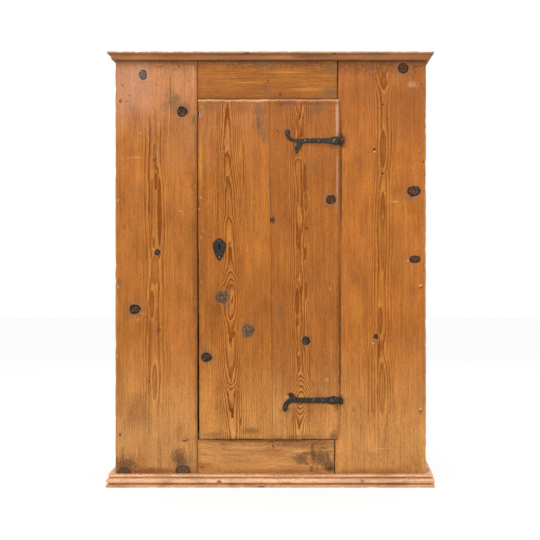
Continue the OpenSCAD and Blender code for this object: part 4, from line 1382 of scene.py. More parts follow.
@dataclass
class Strap:
    """A forged strap hinge: its bar, curled tail, side leaf, eye, pintle and nails.

    nails gives each nail's distance from the hinge's axis, its head's radius and its height.
    pin_stand is how far the pin stands out over the eye.
    """

    level: str
    height: float
    bar: tuple[Station, ...]
    branch: tuple[Station, ...]
    nails: tuple[Point, ...]
    pin_stand: float
    seed: float
    sides: int = 12
    roundness: float = 0.62
    facet: float = 9.0
    beaten: float = 0.75
    eye_gap: float = 0.3
    shoulder_r: Pair = (5.4, 6.4)
    shoulder_h: float = 9.0
    shank_half: float = 4.5
    shank_end_y: float = -199.0
    nail_seat: float = 3.6
    nail_length: float = 55.0

    def swept(self, stations: Sequence[Station]) -> BMesh:
        """Forges a bar by drawing a rounded section from station to station.

        Args:
            stations: the places that it passes, with its width and thickness there.

        Returns:
            The bar as a solid in place.
        """
        bm = bmesh.new()
        bmesh.ops.create_circle(bm, cap_ends=True, segments=self.sides, radius=1.0)
        for vert in bm.verts:
            angle = math.atan2(vert.co.y, vert.co.x)
            arms = (math.cos(angle), math.sin(angle))
            vert.co = (0.0, *(math.copysign(abs(arm) ** self.roundness, arm) for arm in arms))
        last = self.frame_at(stations[0])
        bmesh.ops.transform(bm, matrix=last, verts=bm.verts)
        end = bm.faces[:][0]
        for station in stations[1:]:
            made = bmesh.ops.extrude_face_region(bm, geom=[end])["geom"]
            moved = self.frame_at(station)
            ring = [item for item in made if isinstance(item, BMVert)]
            bmesh.ops.transform(bm, matrix=moved @ last.inverted(), verts=ring)
            faces = [item for item in made if isinstance(item, BMFace)]
            end = next(face for face in faces if len(face.verts) == self.sides)
            last = moved
        bmesh.ops.recalc_face_normals(bm, faces=bm.faces)
        return bm

    def frame_at(self, station: Station) -> Matrix:
        """The matrix that puts a unit section at a station, seated on the door's face."""
        turn = math.radians(station.heading)
        x = SIZES.hinge_x - station.u
        z = self.height + station.v
        y = SIZES.door_front_y - station.thick / 2
        along = Vector((-math.cos(turn), 0.0, math.sin(turn)))
        side = Vector((math.sin(turn), 0.0, math.cos(turn)))
        deep = Vector((0.0, -1.0, 0.0))
        matrix = Matrix.Identity(4)
        for column, arrow, size in ((0, along, 1.0), (1, side, station.half), (2, deep, station.thick / 2)):
            for row in range(3):
                matrix[row][column] = arrow[row] * size
        matrix.translation = Vector((x, y, z))
        return matrix

    def eye(self) -> BMesh:
        """The rolled eye round the pin."""
        inner, outer = SIZES.pin_r + 0.1, SIZES.eye_r
        half = SIZES.eye_h / 2
        lip = outer - 0.8
        side = half - 1
        bm = bmesh.new()
        profile = [(inner, -half), (lip, -half), (outer, -side), (outer, side), (lip, half), (inner, half)]
        rim = [bm.verts.new((radius, 0.0, rise)) for radius, rise in profile]
        edges = [bm.edges.new(pair) for pair in zip(rim, [*rim[1:], rim[0]])]
        bmesh.ops.spin(
            bm, geom=[*rim, *edges], cent=(0, 0, 0), axis=(0, 0, 1), dvec=(0, 0, 0), angle=math.tau,
            steps=32, use_merge=True, use_duplicate=False,
        )
        bmesh.ops.remove_doubles(bm, verts=bm.verts, dist=0.001)
        bmesh.ops.translate(bm, vec=(SIZES.hinge_x, SIZES.hinge_y, self.height), verts=bm.verts)
        return bm

    def build(self) -> None:
        """Makes the strap, its pintle and its nails."""
        iron = shared(FORGED)
        bar = self.swept(self.bar)
        branch = self.swept(self.branch)
        strap = joined(bar, branch)
        bmesh.ops.subdivide_edges(strap, edges=strap.edges, cuts=1, use_grid_fill=True)
        self.hammered(strap)
        strap = joined(strap, self.eye())
        node = f"{self.level}_hinge_strap"
        placed(strap, f"{node}_iron", Place("door", "forged_iron", node), iron, 60.0)
        self.pintle(iron)
        self.fastened()

    def hammered(self, bm: BMesh) -> None:
        """Beats shallow facets into the iron, but not into its seat on the door."""
        for vert in bm.verts:
            lift = SIZES.door_front_y - vert.co.y
            share = min(1.0, max(0.0, lift / 3.0))
            spot = vert.co / self.facet + Vector((self.seed, 0.0, 0.0))
            shift = Vector([noise.noise(spot + Vector(aside)) for aside in ((0, 0, 0), (7, 3, 1), (2, 9, 5))])
            vert.co += shift * self.beaten * share

    def pintle(self, iron: Material) -> None:
        """Makes the pintle: its pin, its shoulder and the square shank in the stile."""
        x, y = SIZES.hinge_x, SIZES.hinge_y
        seat = self.height - SIZES.eye_h / 2 - self.eye_gap
        top = self.height + SIZES.eye_h / 2 + self.pin_stand
        foot = seat - self.shoulder_h
        half = self.shank_half
        pin = self.peg((SIZES.pin_r, SIZES.pin_r * 0.9), seat, top)
        shoulder = self.peg(self.shoulder_r, foot, seat)
        shank = slab((x - half, y, foot), (x + half, self.shank_end_y, seat))
        soften(shank, 0.8, 2)
        whole = joined(pin, shoulder, shank)
        node = f"{self.level}_pintle"
        placed(whole, f"{node}_iron", Place("carcass", "forged_iron", node), iron, 50.0)

    def peg(self, radii: Pair, foot: float, top: float) -> BMesh:
        """A round peg on the hinge's axis, from its radii and its two heights."""
        bm = bmesh.new()
        bmesh.ops.create_cone(
            bm, cap_ends=True, segments=20, radius1=radii[0], radius2=radii[1], depth=top - foot,
        )
        soften(bm, 0.9, 2)
        bmesh.ops.translate(bm, vec=(SIZES.hinge_x, SIZES.hinge_y, (top + foot) / 2), verts=bm.verts)
        return bm

    def fastened(self) -> None:
        """Makes the strap's nails, which go through the plank and the ledge."""
        seat = SIZES.door_front_y - self.nail_seat
        nails = [
            nail_head((SIZES.hinge_x - u, seat, self.height), radius, height, self.seed + u, self.nail_length)
            for u, radius, height in self.nails
        ]
        node = f"{self.level}_hinge_nails"
        placed(joined(*nails), f"{node}_iron", Place("door", "nail_iron", node), shared(NAIL), 30.0)


@dataclass
class Escutcheon:
    """The shield round the keyhole, with its two nails.

    half is the right half of its outline, as shares of half its width and of its height. tip and
    nails are shares of its height.
    """

    width: float = 51.0
    height: float = 87.0
    thick: float = 2.5
    bend: float = 0.45
    tip: float = -0.725
    nails: Pair = (0.19, -0.55)
    half: tuple[Pair, ...] = (
        (0.14, 0.31), (0.32, 0.285), (0.5, 0.235), (0.68, 0.17), (0.93, 0.135), (1.0, 0.06), (1.0, -0.06),
        (0.96, -0.16), (0.85, -0.29), (0.7, -0.41), (0.52, -0.52), (0.3, -0.63), (0.1, -0.7),
    )

    def build(self) -> None:
        """Makes the plate and its nails."""
        right = [(u * self.width / 2, v * self.height) for u, v in self.half]
        outline = [*right, (0.0, self.tip * self.height), *((-u, v) for u, v in reversed(right))]
        x, z = SIZES.keyhole_x, SIZES.keyhole_z
        back = SIZES.door_front_y
        front = back - self.thick
        bm = prism([(x + u, back, z + v) for u, v in outline], [(x + u, front, z + v) for u, v in outline])
        soften(bm, 0.9, 3, chosen=lambda edge: all(vert.co.y < front + 0.1 for vert in edge.verts))
        bmesh.ops.triangulate(bm, faces=bm.faces)
        bmesh.ops.subdivide_edges(bm, edges=bm.edges, cuts=2, use_grid_fill=True)
        for vert in bm.verts:
            share = min(1.0, (back - vert.co.y) / self.thick)
            vert.co.y += share * self.bend * noise.noise(vert.co / 12.0)
        place = Place("door", "forged_iron", "escutcheon")
        plate = placed(bm, "escutcheon_plate", place, shared(PLATE), 40.0)
        cut_out(plate, keyhole_tool(front - 3, back + 3))
        nails = [
            nail_head((x, front + 0.2, z + share * self.height), 3.4, 1.4, 70 + share, 16.0)
            for share in self.nails
        ]
        place = Place("door", "nail_iron", "escutcheon_nails")
        placed(joined(*nails), "escutcheon_nail_heads", place, shared(NAIL), 30.0)


@dataclass
class Fastenings:
    """The carcass's nails, and the smaller nails and the lock's pieces, which keep their shape.

    The shares are the heights of the stiles' nails by the height of the boards.
    """

    inset: float = 18.0
    sunk: float = 0.2
    head_r: float = 4.0
    head_h: float = 0.9
    length: float = 40.0
    left_shares: tuple[float, ...] = (0.12, 0.38, 0.65, 0.9)
    right_shares: tuple[float, ...] = (0.175, 0.465, 0.78, 0.94)
    weld_gap: float = 0.000002

    def build(self) -> None:
        """Makes the carcass's nails, and dresses the smaller nails and the lock."""
        heads = []
        for sign, shares in ((-1.0, self.left_shares), (1.0, self.right_shares)):
            x = sign * (SIZES.half_w - self.inset)
            for share in shares:
                seat = (x, SIZES.face_y + self.sunk, share * SIZES.top_z)
                heads.append(nail_head(seat, self.head_r, self.head_h, share * 40 + sign, self.length))
        place = Place("carcass", "nail_iron", "frame_nails")
        placed(joined(*heads), "frame_nail_heads", place, shared(NAIL), 30.0)
        for node in ("keep_nails", "ledge_nails", "lock_nails"):
            self.dressed(node, shared(NAIL), 0.25)
        for node in ("lock_case", "lock_cover", "lock_bolt", "lock_keep", "lock_ward", "lock_spring"):
            self.dressed(node, shared(LOCK), 0.5)

    def dressed(self, node: str, material: Material, arris: float) -> None:
        """Gives a node of the frame its finish and softens its edges.

        Args:
            node: the node's name.
            material: its finish.
            arris: the radius of its edges.
        """
        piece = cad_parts[node]
        for index in range(len(piece.material_slots)):
            piece.material_slots[index].material = material
        weld = piece.modifiers.new("weld", "WELD")
        weld.merge_threshold = self.weld_gap
        bevel = piece.modifiers.new("arris", "BEVEL")
        bevel.width = arris * MM
        bevel.segments = 2
        bevel.limit_method = "ANGLE"
        bevel.angle_limit = math.radians(40)


# Finishes

DRY_EARLY: Colour = (0.50, 0.30, 0.145)
DRY_LATE: Colour = (0.36, 0.17, 0.06)
DRY_GLOSS = 0.66
# The depths over which the wax of the outside ends, on the front, the door, the roof and the sides
FRONT_DRY: Pair = (-203.0, -198.0)
DOOR_DRY: Pair = (-207.0, -200.0)
ROOF_DRY: Pair = (1690.0, 1687.0)
SIDE_DRY: Pair = (591.0, 587.0)


def dry_pine(name: str, grain: Grain = Grain.UP, **values: object) -> Pine:
    """The pine of the inside, which was never waxed."""
    return Pine(name, grain, early=DRY_EARLY, late=DRY_LATE, gloss=DRY_GLOSS, **values)


# Each back board's heart beside its middle, that line's lean, and its knot as a place and a radius
BACK_BOARDS = (
    (20.0, 14.0, (-60.0, 1210.0, 14.0)), (-45.0, 30.0, (70.0, 520.0, 17.0)),
    (10.0, -24.0, (-75.0, 860.0, 12.0)), (50.0, -20.0, (-48.0, 1420.0, 16.0)),
    (-30.0, 18.0, (66.0, 300.0, 13.0)),
)

FORGED = Iron("forged_iron", seed=3.0)
PLATE = Iron(
    "plate_iron", skin=(0.032, 0.024, 0.017), rust=(0.045, 0.032, 0.022), worn=(0.14, 0.12, 0.10), seed=9.0,
)
NAIL = Iron(
    "nail_iron", skin=(0.075, 0.055, 0.038), rust=(0.13, 0.08, 0.045), worn=(0.5, 0.45, 0.38),
    worn_share=0.75, seed=15.0,
)
LOCK = Iron(
    "lock_iron", skin=(0.12, 0.11, 0.10), rust=(0.16, 0.09, 0.05), worn=(0.28, 0.27, 0.25), gloss=0.42,
    rust_share=0.35, seed=21.0,
)

SIDE_KNOTS = {
    "left": (Knot(-120, 1180, 13, RED), Knot(-60, 620, 16, DARK), Knot(-140, 330, 10, CRUMBLY)),
    "right": (Knot(-70, 1320, 15, DARK), Knot(-130, 820, 12, RED), Knot(-50, 260, 14, CRUMBLY)),
}

LEFT_STILE = Pine(
    "left_stile_pine", heart=(-454.0, -460.0), seed=1.0, span=36.0, rings=4.0, outer=0.16, reach=2.0,
    # Its shade paints the gap's shade along its right edge, beside the door.
    shade=-0.25, inward=FRONT_DRY, edges=Edges((-640, -640), (-286, -286), 44, 1682),
    early=(0.485, 0.167, 0.034), calm=(1360.0, 1540.0), calm_foot=(420.0, 230.0),
    # Its head_tone is a painted highlight: the lighter, pinker upper end stands for glare.
    foot_tone=(0.62, 0.292, 0.092), head_tone=(0.53, 0.222, 0.092),
    figure=(
        (0, 0.2), (300, 0.25), (500, 0.15), (640, 0.35), (760, 0.2), (870, 0.45), (925, 0.3), (1060, 0.15),
        (1230, 0.3), (1330, 0.5), (1420, 0.4), (1500, 0.5), (1600, 0.35), (1710, 0.5),
    ),
    lenses=each(Lens, (
        (-457, 411, 10, 73, 0.45), (-468, 716, 9.5, 56, 0.5), (-438, 1080, 9, 140, 0.85),
        (-468, 1085, 3, 130, 0.7), (-461, 958, 5, 22, 0.6), (-452, 1200, 7, 36, 0.8),
        (-459, 1320, 6, 30, 0.5), (-450, 1390, 3, 110, 0.4), (-457, 850, 17, 58, 0.25),
        (-484, 660, 3, 75, 0.6), (-481, 440, 3, 130, 0.6), (-438, 560, 2.5, 90, 0.5),
    )),
    knots=each(Knot, (
        (-503, 1620, 15, BLUE, 1.3), (-349, 1475, 20, DARK, 0.95), (-447, 920, 11, RED),
        (-536, 696, 20, DARK, 0.92), (-458, 1286, 6, CRUMBLY, 1.1), (-345, 62, 29, DULL, 0.62),
        (-577, 56, 23, DULL, 0.72), (-440, 615, 7, CRUMBLY, 0.9),
    )),
    marks=each(Mark, (
        # The broad brown band along the head, the first mark here, paints the cornice's shadow on the stile
        # along with its grime.
        (-450, 1684, 700, 60, BROWN, 0.85, 0.05), (-610, 880, 5, 900, PALE_AND_HIGHLIGHT, 0.2, 0.3),
        # The pink patch at -545, 1575 is a painted highlight, the glare at the stile's upper left.
        (-545, 1575, 120, 170, PINK_HIGHLIGHT, 0.4, 0.1), (-520, 1450, 80, 60, RUST, 0.25, 0.1),
        (-591, 1517, 8, 13, SOOT_AND_SHADE, 0.6), (-585, 1578, 5, 7, DIRT_AND_SHADE, 0.8), (-558, 1539, 8, 5, RUST, 0.7),
        (-568, 1514, 9, 5, RUST, 0.7), (-531, 1661, 5, 4, SOOT_AND_SHADE, 0.8), (-540, 1600, 6, 4, RUST, 0.7),
        (-500, 1592, 16, 8, DIRT_AND_SHADE, 0.4), (-455, 1586, 3, 11, DIRT_AND_SHADE, 0.55), (-447, 1578, 9, 3, DIRT_AND_SHADE, 0.5),
        (-376, 1522, 34, 34, GREY, 0.6), (-405, 1497, 44, 34, GREY, 0.45), (-345, 1498, 34, 18, GREY, 0.5),
        (-303, 1445, 14, 34, GREEN, 0.75), (-298, 1370, 10, 70, GREY, 0.4),
        (-532, 1293, 48, 1.7, PALE_AND_HIGHLIGHT, 0.4, 0.5), (-514, 1391, 12, 1.6, PALE_AND_HIGHLIGHT, 0.6),
        (-395.5, 1560, 1.7, 115, SOOT_AND_SHADE, 0.5, 0.6), (-399, 1470, 1.8, 50, YELLOW_AND_HIGHLIGHT, 0.8, 0.5),
        (-327, 1204, 31, 31, RUST, 0.45, 0.1, True), (-317, 1205.5, 4, 4, SOOT_AND_SHADE, 0.8),
        (-304, 1190, 13, 90, DIRT_AND_SHADE, 0.35), (-580, 1021, 5, 12, DIRT_AND_SHADE, 0.5), (-357, 1082, 13, 3, PALE_AND_HIGHLIGHT, 0.4),
        (-603, 1125, 9, 11, PALE_AND_HIGHLIGHT, 0.3), (-602, 785, 9, 12, PALE_AND_HIGHLIGHT, 0.3), (-596, 800, 12, 26, GREY, 0.5),
        (-300, 696, 12, 26, GREY, 0.7), (-302, 900, 12, 420, DIRT_AND_SHADE, 0.32), (-516, 672, 16, 3, DIRT_AND_SHADE, 0.5),
        (-506, 680, 10, 2.4, PALE_AND_HIGHLIGHT, 0.5), (-526, 655, 14, 3, PALE_AND_HIGHLIGHT, 0.45), (-490, 664, 13, 3, DIRT_AND_SHADE, 0.6),
        (-522, 765, 34, 55, RUST, 0.2), (-606, 511, 7, 9, YELLOW_AND_HIGHLIGHT, 0.7), (-478, 410, 4, 6, SOOT_AND_SHADE, 0.7),
        (-601, 363, 6, 14, GREY, 0.5), (-576, 251, 7, 16, GREY, 0.6), (-594, 203, 9, 11, GREY, 0.8),
        # The dark slot at -336, 181 has a painted highlight along its upper edge, the pale line at -336,
        # 182.5.
        (-336, 181, 18, 7, SOOT_AND_SHADE, 0.85, 0.6), (-336, 182.5, 13, 3.2, PALE_AND_HIGHLIGHT, 0.45, 0.6),
        (-575, 84, 80, 54, BROWN, 0.8, 0.1), (-362, 112, 44, 62, BROWN, 0.75),
        (-470, 60, 160, 16, BROWN, 0.5), (-352, 92, 30, 36, SOOT_AND_SHADE, 0.3), (-330, 100, 60, 40, GREY, 0.35),
        (-581, 118, 1.6, 60, SOOT_AND_SHADE, 0.5, 0.5), (-470, 58, 130, 22, RUST, 0.4),
        (-520, 300, 60, 90, GREY, 0.18),
    )),
)

RIGHT_STILE = Pine(
    "right_stile_pine", heart=(434.0, 446.0), seed=2.0, span=30.0, rings=4.0, outer=0.16, reach=2.3,
    inward=FRONT_DRY, edges=Edges((250, 262), (640, 640), 44, 1682), early=(0.49, 0.161, 0.030),
    calm_foot=(330.0, 180.0), foot_tone=(0.635, 0.287, 0.084), head_tone=(0.435, 0.142, 0.036),
    figure=(
        (0, 0.35), (200, 0.3), (282, 0.2), (450, 0.25), (554, 0.7), (590, 0.45), (700, 0.2), (860, 0.3),
        (1000, 0.25), (1180, 0.35), (1230, 0.6), (1270, 0.3), (1400, 0.2), (1480, 0.35), (1550, 0.1),
        (1580, -0.5), (1640, -1.6), (1710, -3.0),
    ),
    lenses=each(Lens, (
        (442, 1327, 13.5, 76, 0.5), (442, 1072, 10.5, 90, 0.62), (441, 950, 9, 108, 0.3),
        (432, 650, 9.5, 56, 0.6), (439, 385, 14, 105, 0.4), (446, 1596, 12, 36, 0.5),
        (420, 560, 2.4, 150, 0.5), (398, 420, 2.4, 140, 0.55), (386, 380, 2.2, 170, 0.5),
        (409, 330, 2.4, 170, 0.5), (462, 360, 2.4, 150, 0.5), (455, 1195, 3, 42, 0.6),
        (419, 1240, 2.6, 150, 0.55), (463, 1330, 2.4, 130, 0.5),
    )),
    knots=each(Knot, (
        (522, 1646, 19, RED, 1.08), (563, 1162, 25, RED, 0.78), (569, 893, 21, RED, 0.66),
        (415, 589, 9, DARK),
    )),
    marks=each(Mark, (
        # The broad brown band along the head, the first mark here, paints the cornice's shadow on the stile
        # along with its grime.
        (450, 1684, 700, 84, BROWN, 0.85, 0.05), (609, 880, 5, 900, PALE_AND_HIGHLIGHT, 0.25, 0.3),
        # These two dark lines beside the door's edge paint the shadow that the door's lap casts on the stile.
        (273, 560, 5, 420, DIRT_AND_SHADE, 0.85, 0.5), (276.5, 1230, 5, 330, DIRT_AND_SHADE, 0.85, 0.5),
        (387, 1650, 15, 24, GREY, 0.7), (560, 1582, 32, 20, PALE_AND_HIGHLIGHT, 0.35, 0.0),
        (548, 1450, 95, 190, RUST, 0.3), (590, 1314, 8, 11, GREY, 0.85), (586, 1318, 4, 4, PALE_AND_HIGHLIGHT, 0.7),
        # The dark patch at 285, 1358 is painted shade beside the door's edge at the upper hinge.
        (601, 1278, 5, 8, DIRT_AND_SHADE, 0.75), (606, 1230, 6, 60, GREY, 0.5), (285, 1358, 22, 34, DIRT_AND_SHADE, 0.6),
        (492, 1164, 36, 30, RUST, 0.4), (478, 1157, 5.5, 4.5, RUST, 0.9), (492, 1120, 18, 5, PALE_AND_HIGHLIGHT, 0.4),
        (551, 1133, 32, 16, GREY, 0.5), (541, 888, 11, 6, PALE_AND_HIGHLIGHT, 0.6), (391, 1050, 3.5, 5, RUST, 0.8),
        (409, 1325, 6.5, 6.5, SOOT_AND_SHADE, 0.9, 0.5), (410, 1318, 6, 4, PALE_AND_HIGHLIGHT, 0.8, 0.5),
        (442, 1503, 5.5, 5.5, SOOT_AND_SHADE, 0.9, 0.3), (441, 1232, 6, 5.5, SOOT_AND_SHADE, 0.9, 0.3),
        (590, 782, 9, 12, GREY, 0.8), (590, 789, 8, 7, PALE_AND_HIGHLIGHT, 0.75), (590, 294, 7, 15, GREY, 0.8),
        (590, 303, 7, 7, PALE_AND_HIGHLIGHT, 0.7), (602, 148, 8, 13, YELLOW_AND_HIGHLIGHT, 0.85, 0.5), (533, 333, 26, 60, RUST, 0.25),
        # The dark marks at 270, 341 and 262, 240 are painted shade beside the door's edge.
        (328, 301, 15, 15, GREY, 0.4), (270, 341, 24, 28, DIRT_AND_SHADE, 0.65), (262, 240, 12, 80, DIRT_AND_SHADE, 0.35),
        (405, 561, 7, 6, PALE_AND_HIGHLIGHT, 0.75), (407, 556, 5, 4, GREY, 0.7), (440, 147, 60, 1.8, PALE_AND_HIGHLIGHT, 0.5),
        # The long dark mark at 274, 900 is painted shade beside the door's edge.
        (420, 57, 150, 20, RUST, 0.35), (274, 900, 12, 420, DIRT_AND_SHADE, 0.28), (600, 560, 10, 240, GREY, 0.25),
        (350, 1560, 60, 90, RUST, 0.25), (340, 700, 40, 130, YELLOW_AND_HIGHLIGHT, 0.2),
    )),
)

DOOR_LEFT = Pine(
    "door_left_pine", heart=(-146.0, -176.0), seed=3.0, span=27.0, rings=4.4, contrast=1.15, outer=0.4,
    inward=DOOR_DRY, edges=Edges((-283, -288), (24, 11), 186, 1529), early=(0.47, 0.158, 0.029),
    jagged=0.13, grime=0.45, foot_tone=(0.72, 0.325, 0.09), head_tone=(0.475, 0.173, 0.052),
    head_fade=(1200.0, 1480.0),
    figure=(
        (185, 7.2), (300, 6.6), (372, 6.0), (395, 5.0), (412, 4.1), (443, 3.6), (487, 3.0), (600, 2.3),
        (640, 2.0), (660, 1.4), (676, 1.0), (700, 0.6), (744, 0.3), (785, 0.9), (798, 1.5), (818, 2.4),
        (837, 3.2), (870, 4.0), (940, 4.5), (1022, 5.0), (1074, 6.0), (1150, 6.4), (1215, 7.0), (1290, 7.5),
        (1342, 8.0), (1430, 8.4), (1540, 8.9),
    ),
    lenses=each(Lens, (
        (-171, 1204, 6, 17, 0.75), (-106, 1254, 2.6, 110, 0.85), (-182, 1270, 2.6, 80, 0.8),
        (-156, 1290, 2.4, 70, 0.6), (-207, 1160, 2.4, 190, 0.7), (-148, 600, 9, 15, 0.85),
        (-166, 1090, 3, 40, 0.7), (-97, 1180, 2.2, 130, 0.5), (-120, 1130, 2.2, 180, 0.5),
        (-154, 440, 4, 34, 0.6),
    )),
    knots=each(Knot, (
        (-191, 745, 24, CRUMBLY), (-89, 610, 22, CRUMBLY, 1.15), (-252.5, 508, 19, DARK, 0.88),
    )),
    marks=each(Mark, (
        (-45, 1478, 44, 36, GREY, 0.62), (-42, 1425, 30, 46, GREY, 0.6), (-26, 1375, 16, 40, GREY, 0.55),
        (-238, 1491, 48, 22, GREY, 0.45), (-108, 1490, 44, 26, GREY, 0.4),
        (-49, 1430, 1.8, 34, SOOT_AND_SHADE, 0.7, 0.5), (-28, 1358, 5, 6, DIRT_AND_SHADE, 0.5),
        # The yellow strip at -276, 1280 is worn wax on the lock edge's arris together with a painted
        # highlight where light catches it.
        (-276, 1280, 10, 170, YELLOW_AND_HIGHLIGHT, 0.5), (-281, 1463, 13, 15, PALE_AND_HIGHLIGHT, 0.7), (-276, 1466, 4, 12, SOOT_AND_SHADE, 0.6),
        (-275, 1136, 8, 7, PALE_AND_HIGHLIGHT, 0.35), (-281, 1091, 6, 8, PALE_AND_HIGHLIGHT, 0.4), (-266, 1004, 5, 5, PALE_AND_HIGHLIGHT, 0.4),
        (-275, 978, 6, 7, PALE_AND_HIGHLIGHT, 0.4), (-245, 1134, 17, 1.4, SOOT_AND_SHADE, 0.45),
        # The pale line along the head at -145, 1519 is a painted highlight on the rounded top arris.
        (-145, 1519, 330, 6, PALE_AND_HIGHLIGHT, 0.85, 0.5), (-145, 1507, 330, 9, DIRT_AND_SHADE, 0.12, 0.3),
        (-272, 802, 3, 9, PALE_AND_HIGHLIGHT, 0.45), (-268, 680, 14, 130, YELLOW_AND_HIGHLIGHT, 0.3), (-215, 305, 3.5, 6, SOOT_AND_SHADE, 0.65),
        (-119, 254, 5, 30, DIRT_AND_SHADE, 0.7), (-78, 218, 55, 24, DIRT_AND_SHADE, 0.5), (-230, 205, 50, 14, GREY, 0.5),
        (-137, 451, 6, 6, RUST, 0.6), (-166, 786, 26, 22, DIRT_AND_SHADE, 0.5, 0.1), (-178, 705, 20, 16, GREY, 0.4),
        (4, 1043, 8, 18, SOOT_AND_SHADE, 0.9, 0.4), (0, 1068, 9, 14, GREY, 0.6), (-2, 1150, 3, 110, GREY, 0.7),
        # The faint dark band at -130, 189 is painted shade along the door's foot.
        (-262, 900, 26, 520, UMBER, 0.3, 0.1), (-130, 189, 190, 9, DIRT_AND_SHADE, 0.2, 0.3),
        # The black patch at the keyhole, -201.7, 943, is painted shade inside the hole.
        (-201.7, 943, 10, 15, SOOT_AND_SHADE, 1.0, 0.8), (4, 600, 2, 400, DIRT_AND_SHADE, 0.5), (-105, 640, 22, 12, GREY, 0.4),
        (-245, 530, 26, 14, GREY, 0.4), (-200, 930, 40, 60, RUST, 0.3),
        (-225, 650, 50, 130, UMBER, 0.28, 0.1), (-60, 700, 60, 170, RUST, 0.22, 0.1),
        (-150, 1500, 150, 60, RUST, 0.3), (-160, 540, 60, 90, RUST, 0.2), (-120, 900, 10, 90, DIRT_AND_SHADE, 0.2),
    )),
)

DOOR_RIGHT = Pine(
    "door_right_pine", heart=(116.0, 112.0), seed=4.0, span=22.0, rings=3.6, contrast=1.1, outer=0.35,
    inward=DOOR_DRY, edges=Edges((-6, -19), (272, 277), 186, 1529), early=(0.43, 0.139, 0.027), jagged=0.1,
    foot_tone=(0.67, 0.31, 0.092), head_tone=(0.40, 0.132, 0.034), head_fade=(1200.0, 1480.0),
    figure=(
        (185, 3.0), (245, 2.6), (272, 2.0), (295, 1.0), (315, 0.0), (332, -0.9), (350, -1.2), (366, -0.7),
        (385, 0.2), (405, 1.1), (425, 2.1), (440, 2.9), (470, 3.2), (538, 3.05), (560, 3.3), (600, 3.2),
        (648, 3.05), (700, 3.2), (794, 3.1), (821, 2.9), (860, 3.2), (940, 3.3), (1005, 3.15), (1083, 2.9),
        (1130, 3.3), (1268, 3.1), (1302, 3.9), (1380, 4.1), (1432, 3.6), (1494, 3.0), (1520, 2.4),
    ),
    lenses=each(Lens, (
        (134, 1200, 6.5, 74, 0.85), (139, 1118, 9, 38, 0.45), (121, 1180, 2.6, 110, 0.7),
        (106, 1005, 4, 38, 0.95), (142, 1016, 8, 9, 0.9), (136, 916, 6, 28, 0.9), (118, 930, 2.6, 110, 0.7),
        (107, 870, 8, 55, 0.35), (105, 724, 8, 58, 0.8), (139, 770, 5, 38, 0.8), (107, 650, 4, 22, 0.8),
        (108, 538, 6, 9, 0.5), (111, 482, 6, 36, 0.7), (153, 480, 3, 60, 0.55), (106, 1430, 6, 34, 0.5),
        (128, 1420, 4, 52, 0.75), (122, 1340, 4, 30, 0.7), (108, 794, 5, 8, 0.5), (150, 1040, 2.4, 90, 0.6),
        (92, 640, 2.4, 60, 0.5), (165, 900, 2.2, 140, 0.4),
    )),
    knots=each(Knot, (
        (237.5, 1128, 19, RED, 0.9), (139, 573, 15, DARK, 1.1),
    )),
    marks=each(Mark, (
        (184, 1482, 46, 30, GREY, 0.5), (60, 1500, 50, 20, GREY, 0.3), (26, 1399.5, 9, 1.8, SOOT_AND_SHADE, 0.8, 0.4),
        (34, 1394, 4, 6, DIRT_AND_SHADE, 0.4), (12, 1308, 11, 2, RUST, 0.6), (17, 1275, 13, 2.2, RUST, 0.6),
        (22, 1262, 3, 14, RUST, 0.5), (20, 1248, 14, 2.2, RUST, 0.6), (27, 1233, 12, 2, RUST, 0.6),
        (24, 1195, 8, 22, RUST, 0.35), (180, 1346, 100, 16, DIRT_AND_SHADE, 0.35), (246, 1342, 32, 24, DIRT_AND_SHADE, 0.45),
        (224, 1104, 22, 17, GREY, 0.6), (222, 1146, 16, 14, GREY, 0.45),
        # The two pink strips at X 262 stand for worn wax on the rounded lap over the stile and are a painted
        # highlight on it as well.
        (262, 1440, 8, 120, PINK_HIGHLIGHT, 0.85, 0.4), (262, 1200, 7, 160, PINK_HIGHLIGHT, 0.6), (262, 760, 5, 300, DIRT_AND_SHADE, 0.3),
        (40, 695, 20, 40, GREY, 0.45), (218, 680, 3.5, 4, SOOT_AND_SHADE, 0.7), (235, 778, 6, 9, PALE_AND_HIGHLIGHT, 0.3),
        (224, 420, 12, 11, PALE_AND_HIGHLIGHT, 0.3), (231, 424, 4, 9, DIRT_AND_SHADE, 0.5), (249, 200, 22, 24, GREY, 0.7),
        (120, 196, 120, 12, GREY, 0.4), (64, 301, 30, 20, DIRT_AND_SHADE, 0.4), (262, 316, 18, 30, DIRT_AND_SHADE, 0.5),
        (62, 352, 7, 7, PALE_AND_HIGHLIGHT, 0.55), (70, 362, 20, 10, GREY, 0.5), (160, 328, 90, 12, DIRT_AND_SHADE, 0.35),
        # The pink line along the head at 130, 1520 is a painted highlight on the rounded top arris.
        (96, 348, 40, 22, DIRT_AND_SHADE, 0.25), (130, 1520, 300, 5, PINK_HIGHLIGHT, 0.8, 0.5),
        (130, 1507, 300, 9, DIRT_AND_SHADE, 0.3, 0.3), (11, 300, 3, 160, PALE_AND_HIGHLIGHT, 0.35), (60, 1300, 20, 130, RUST, 0.3),
        (150, 1250, 50, 60, GREY, 0.25), (10, 1048, 9, 20, SOOT_AND_SHADE, 0.75, 0.3), (13, 1066, 12, 22, GREY, 0.6),
        (190, 540, 50, 120, RUST, 0.2),
    )),
)

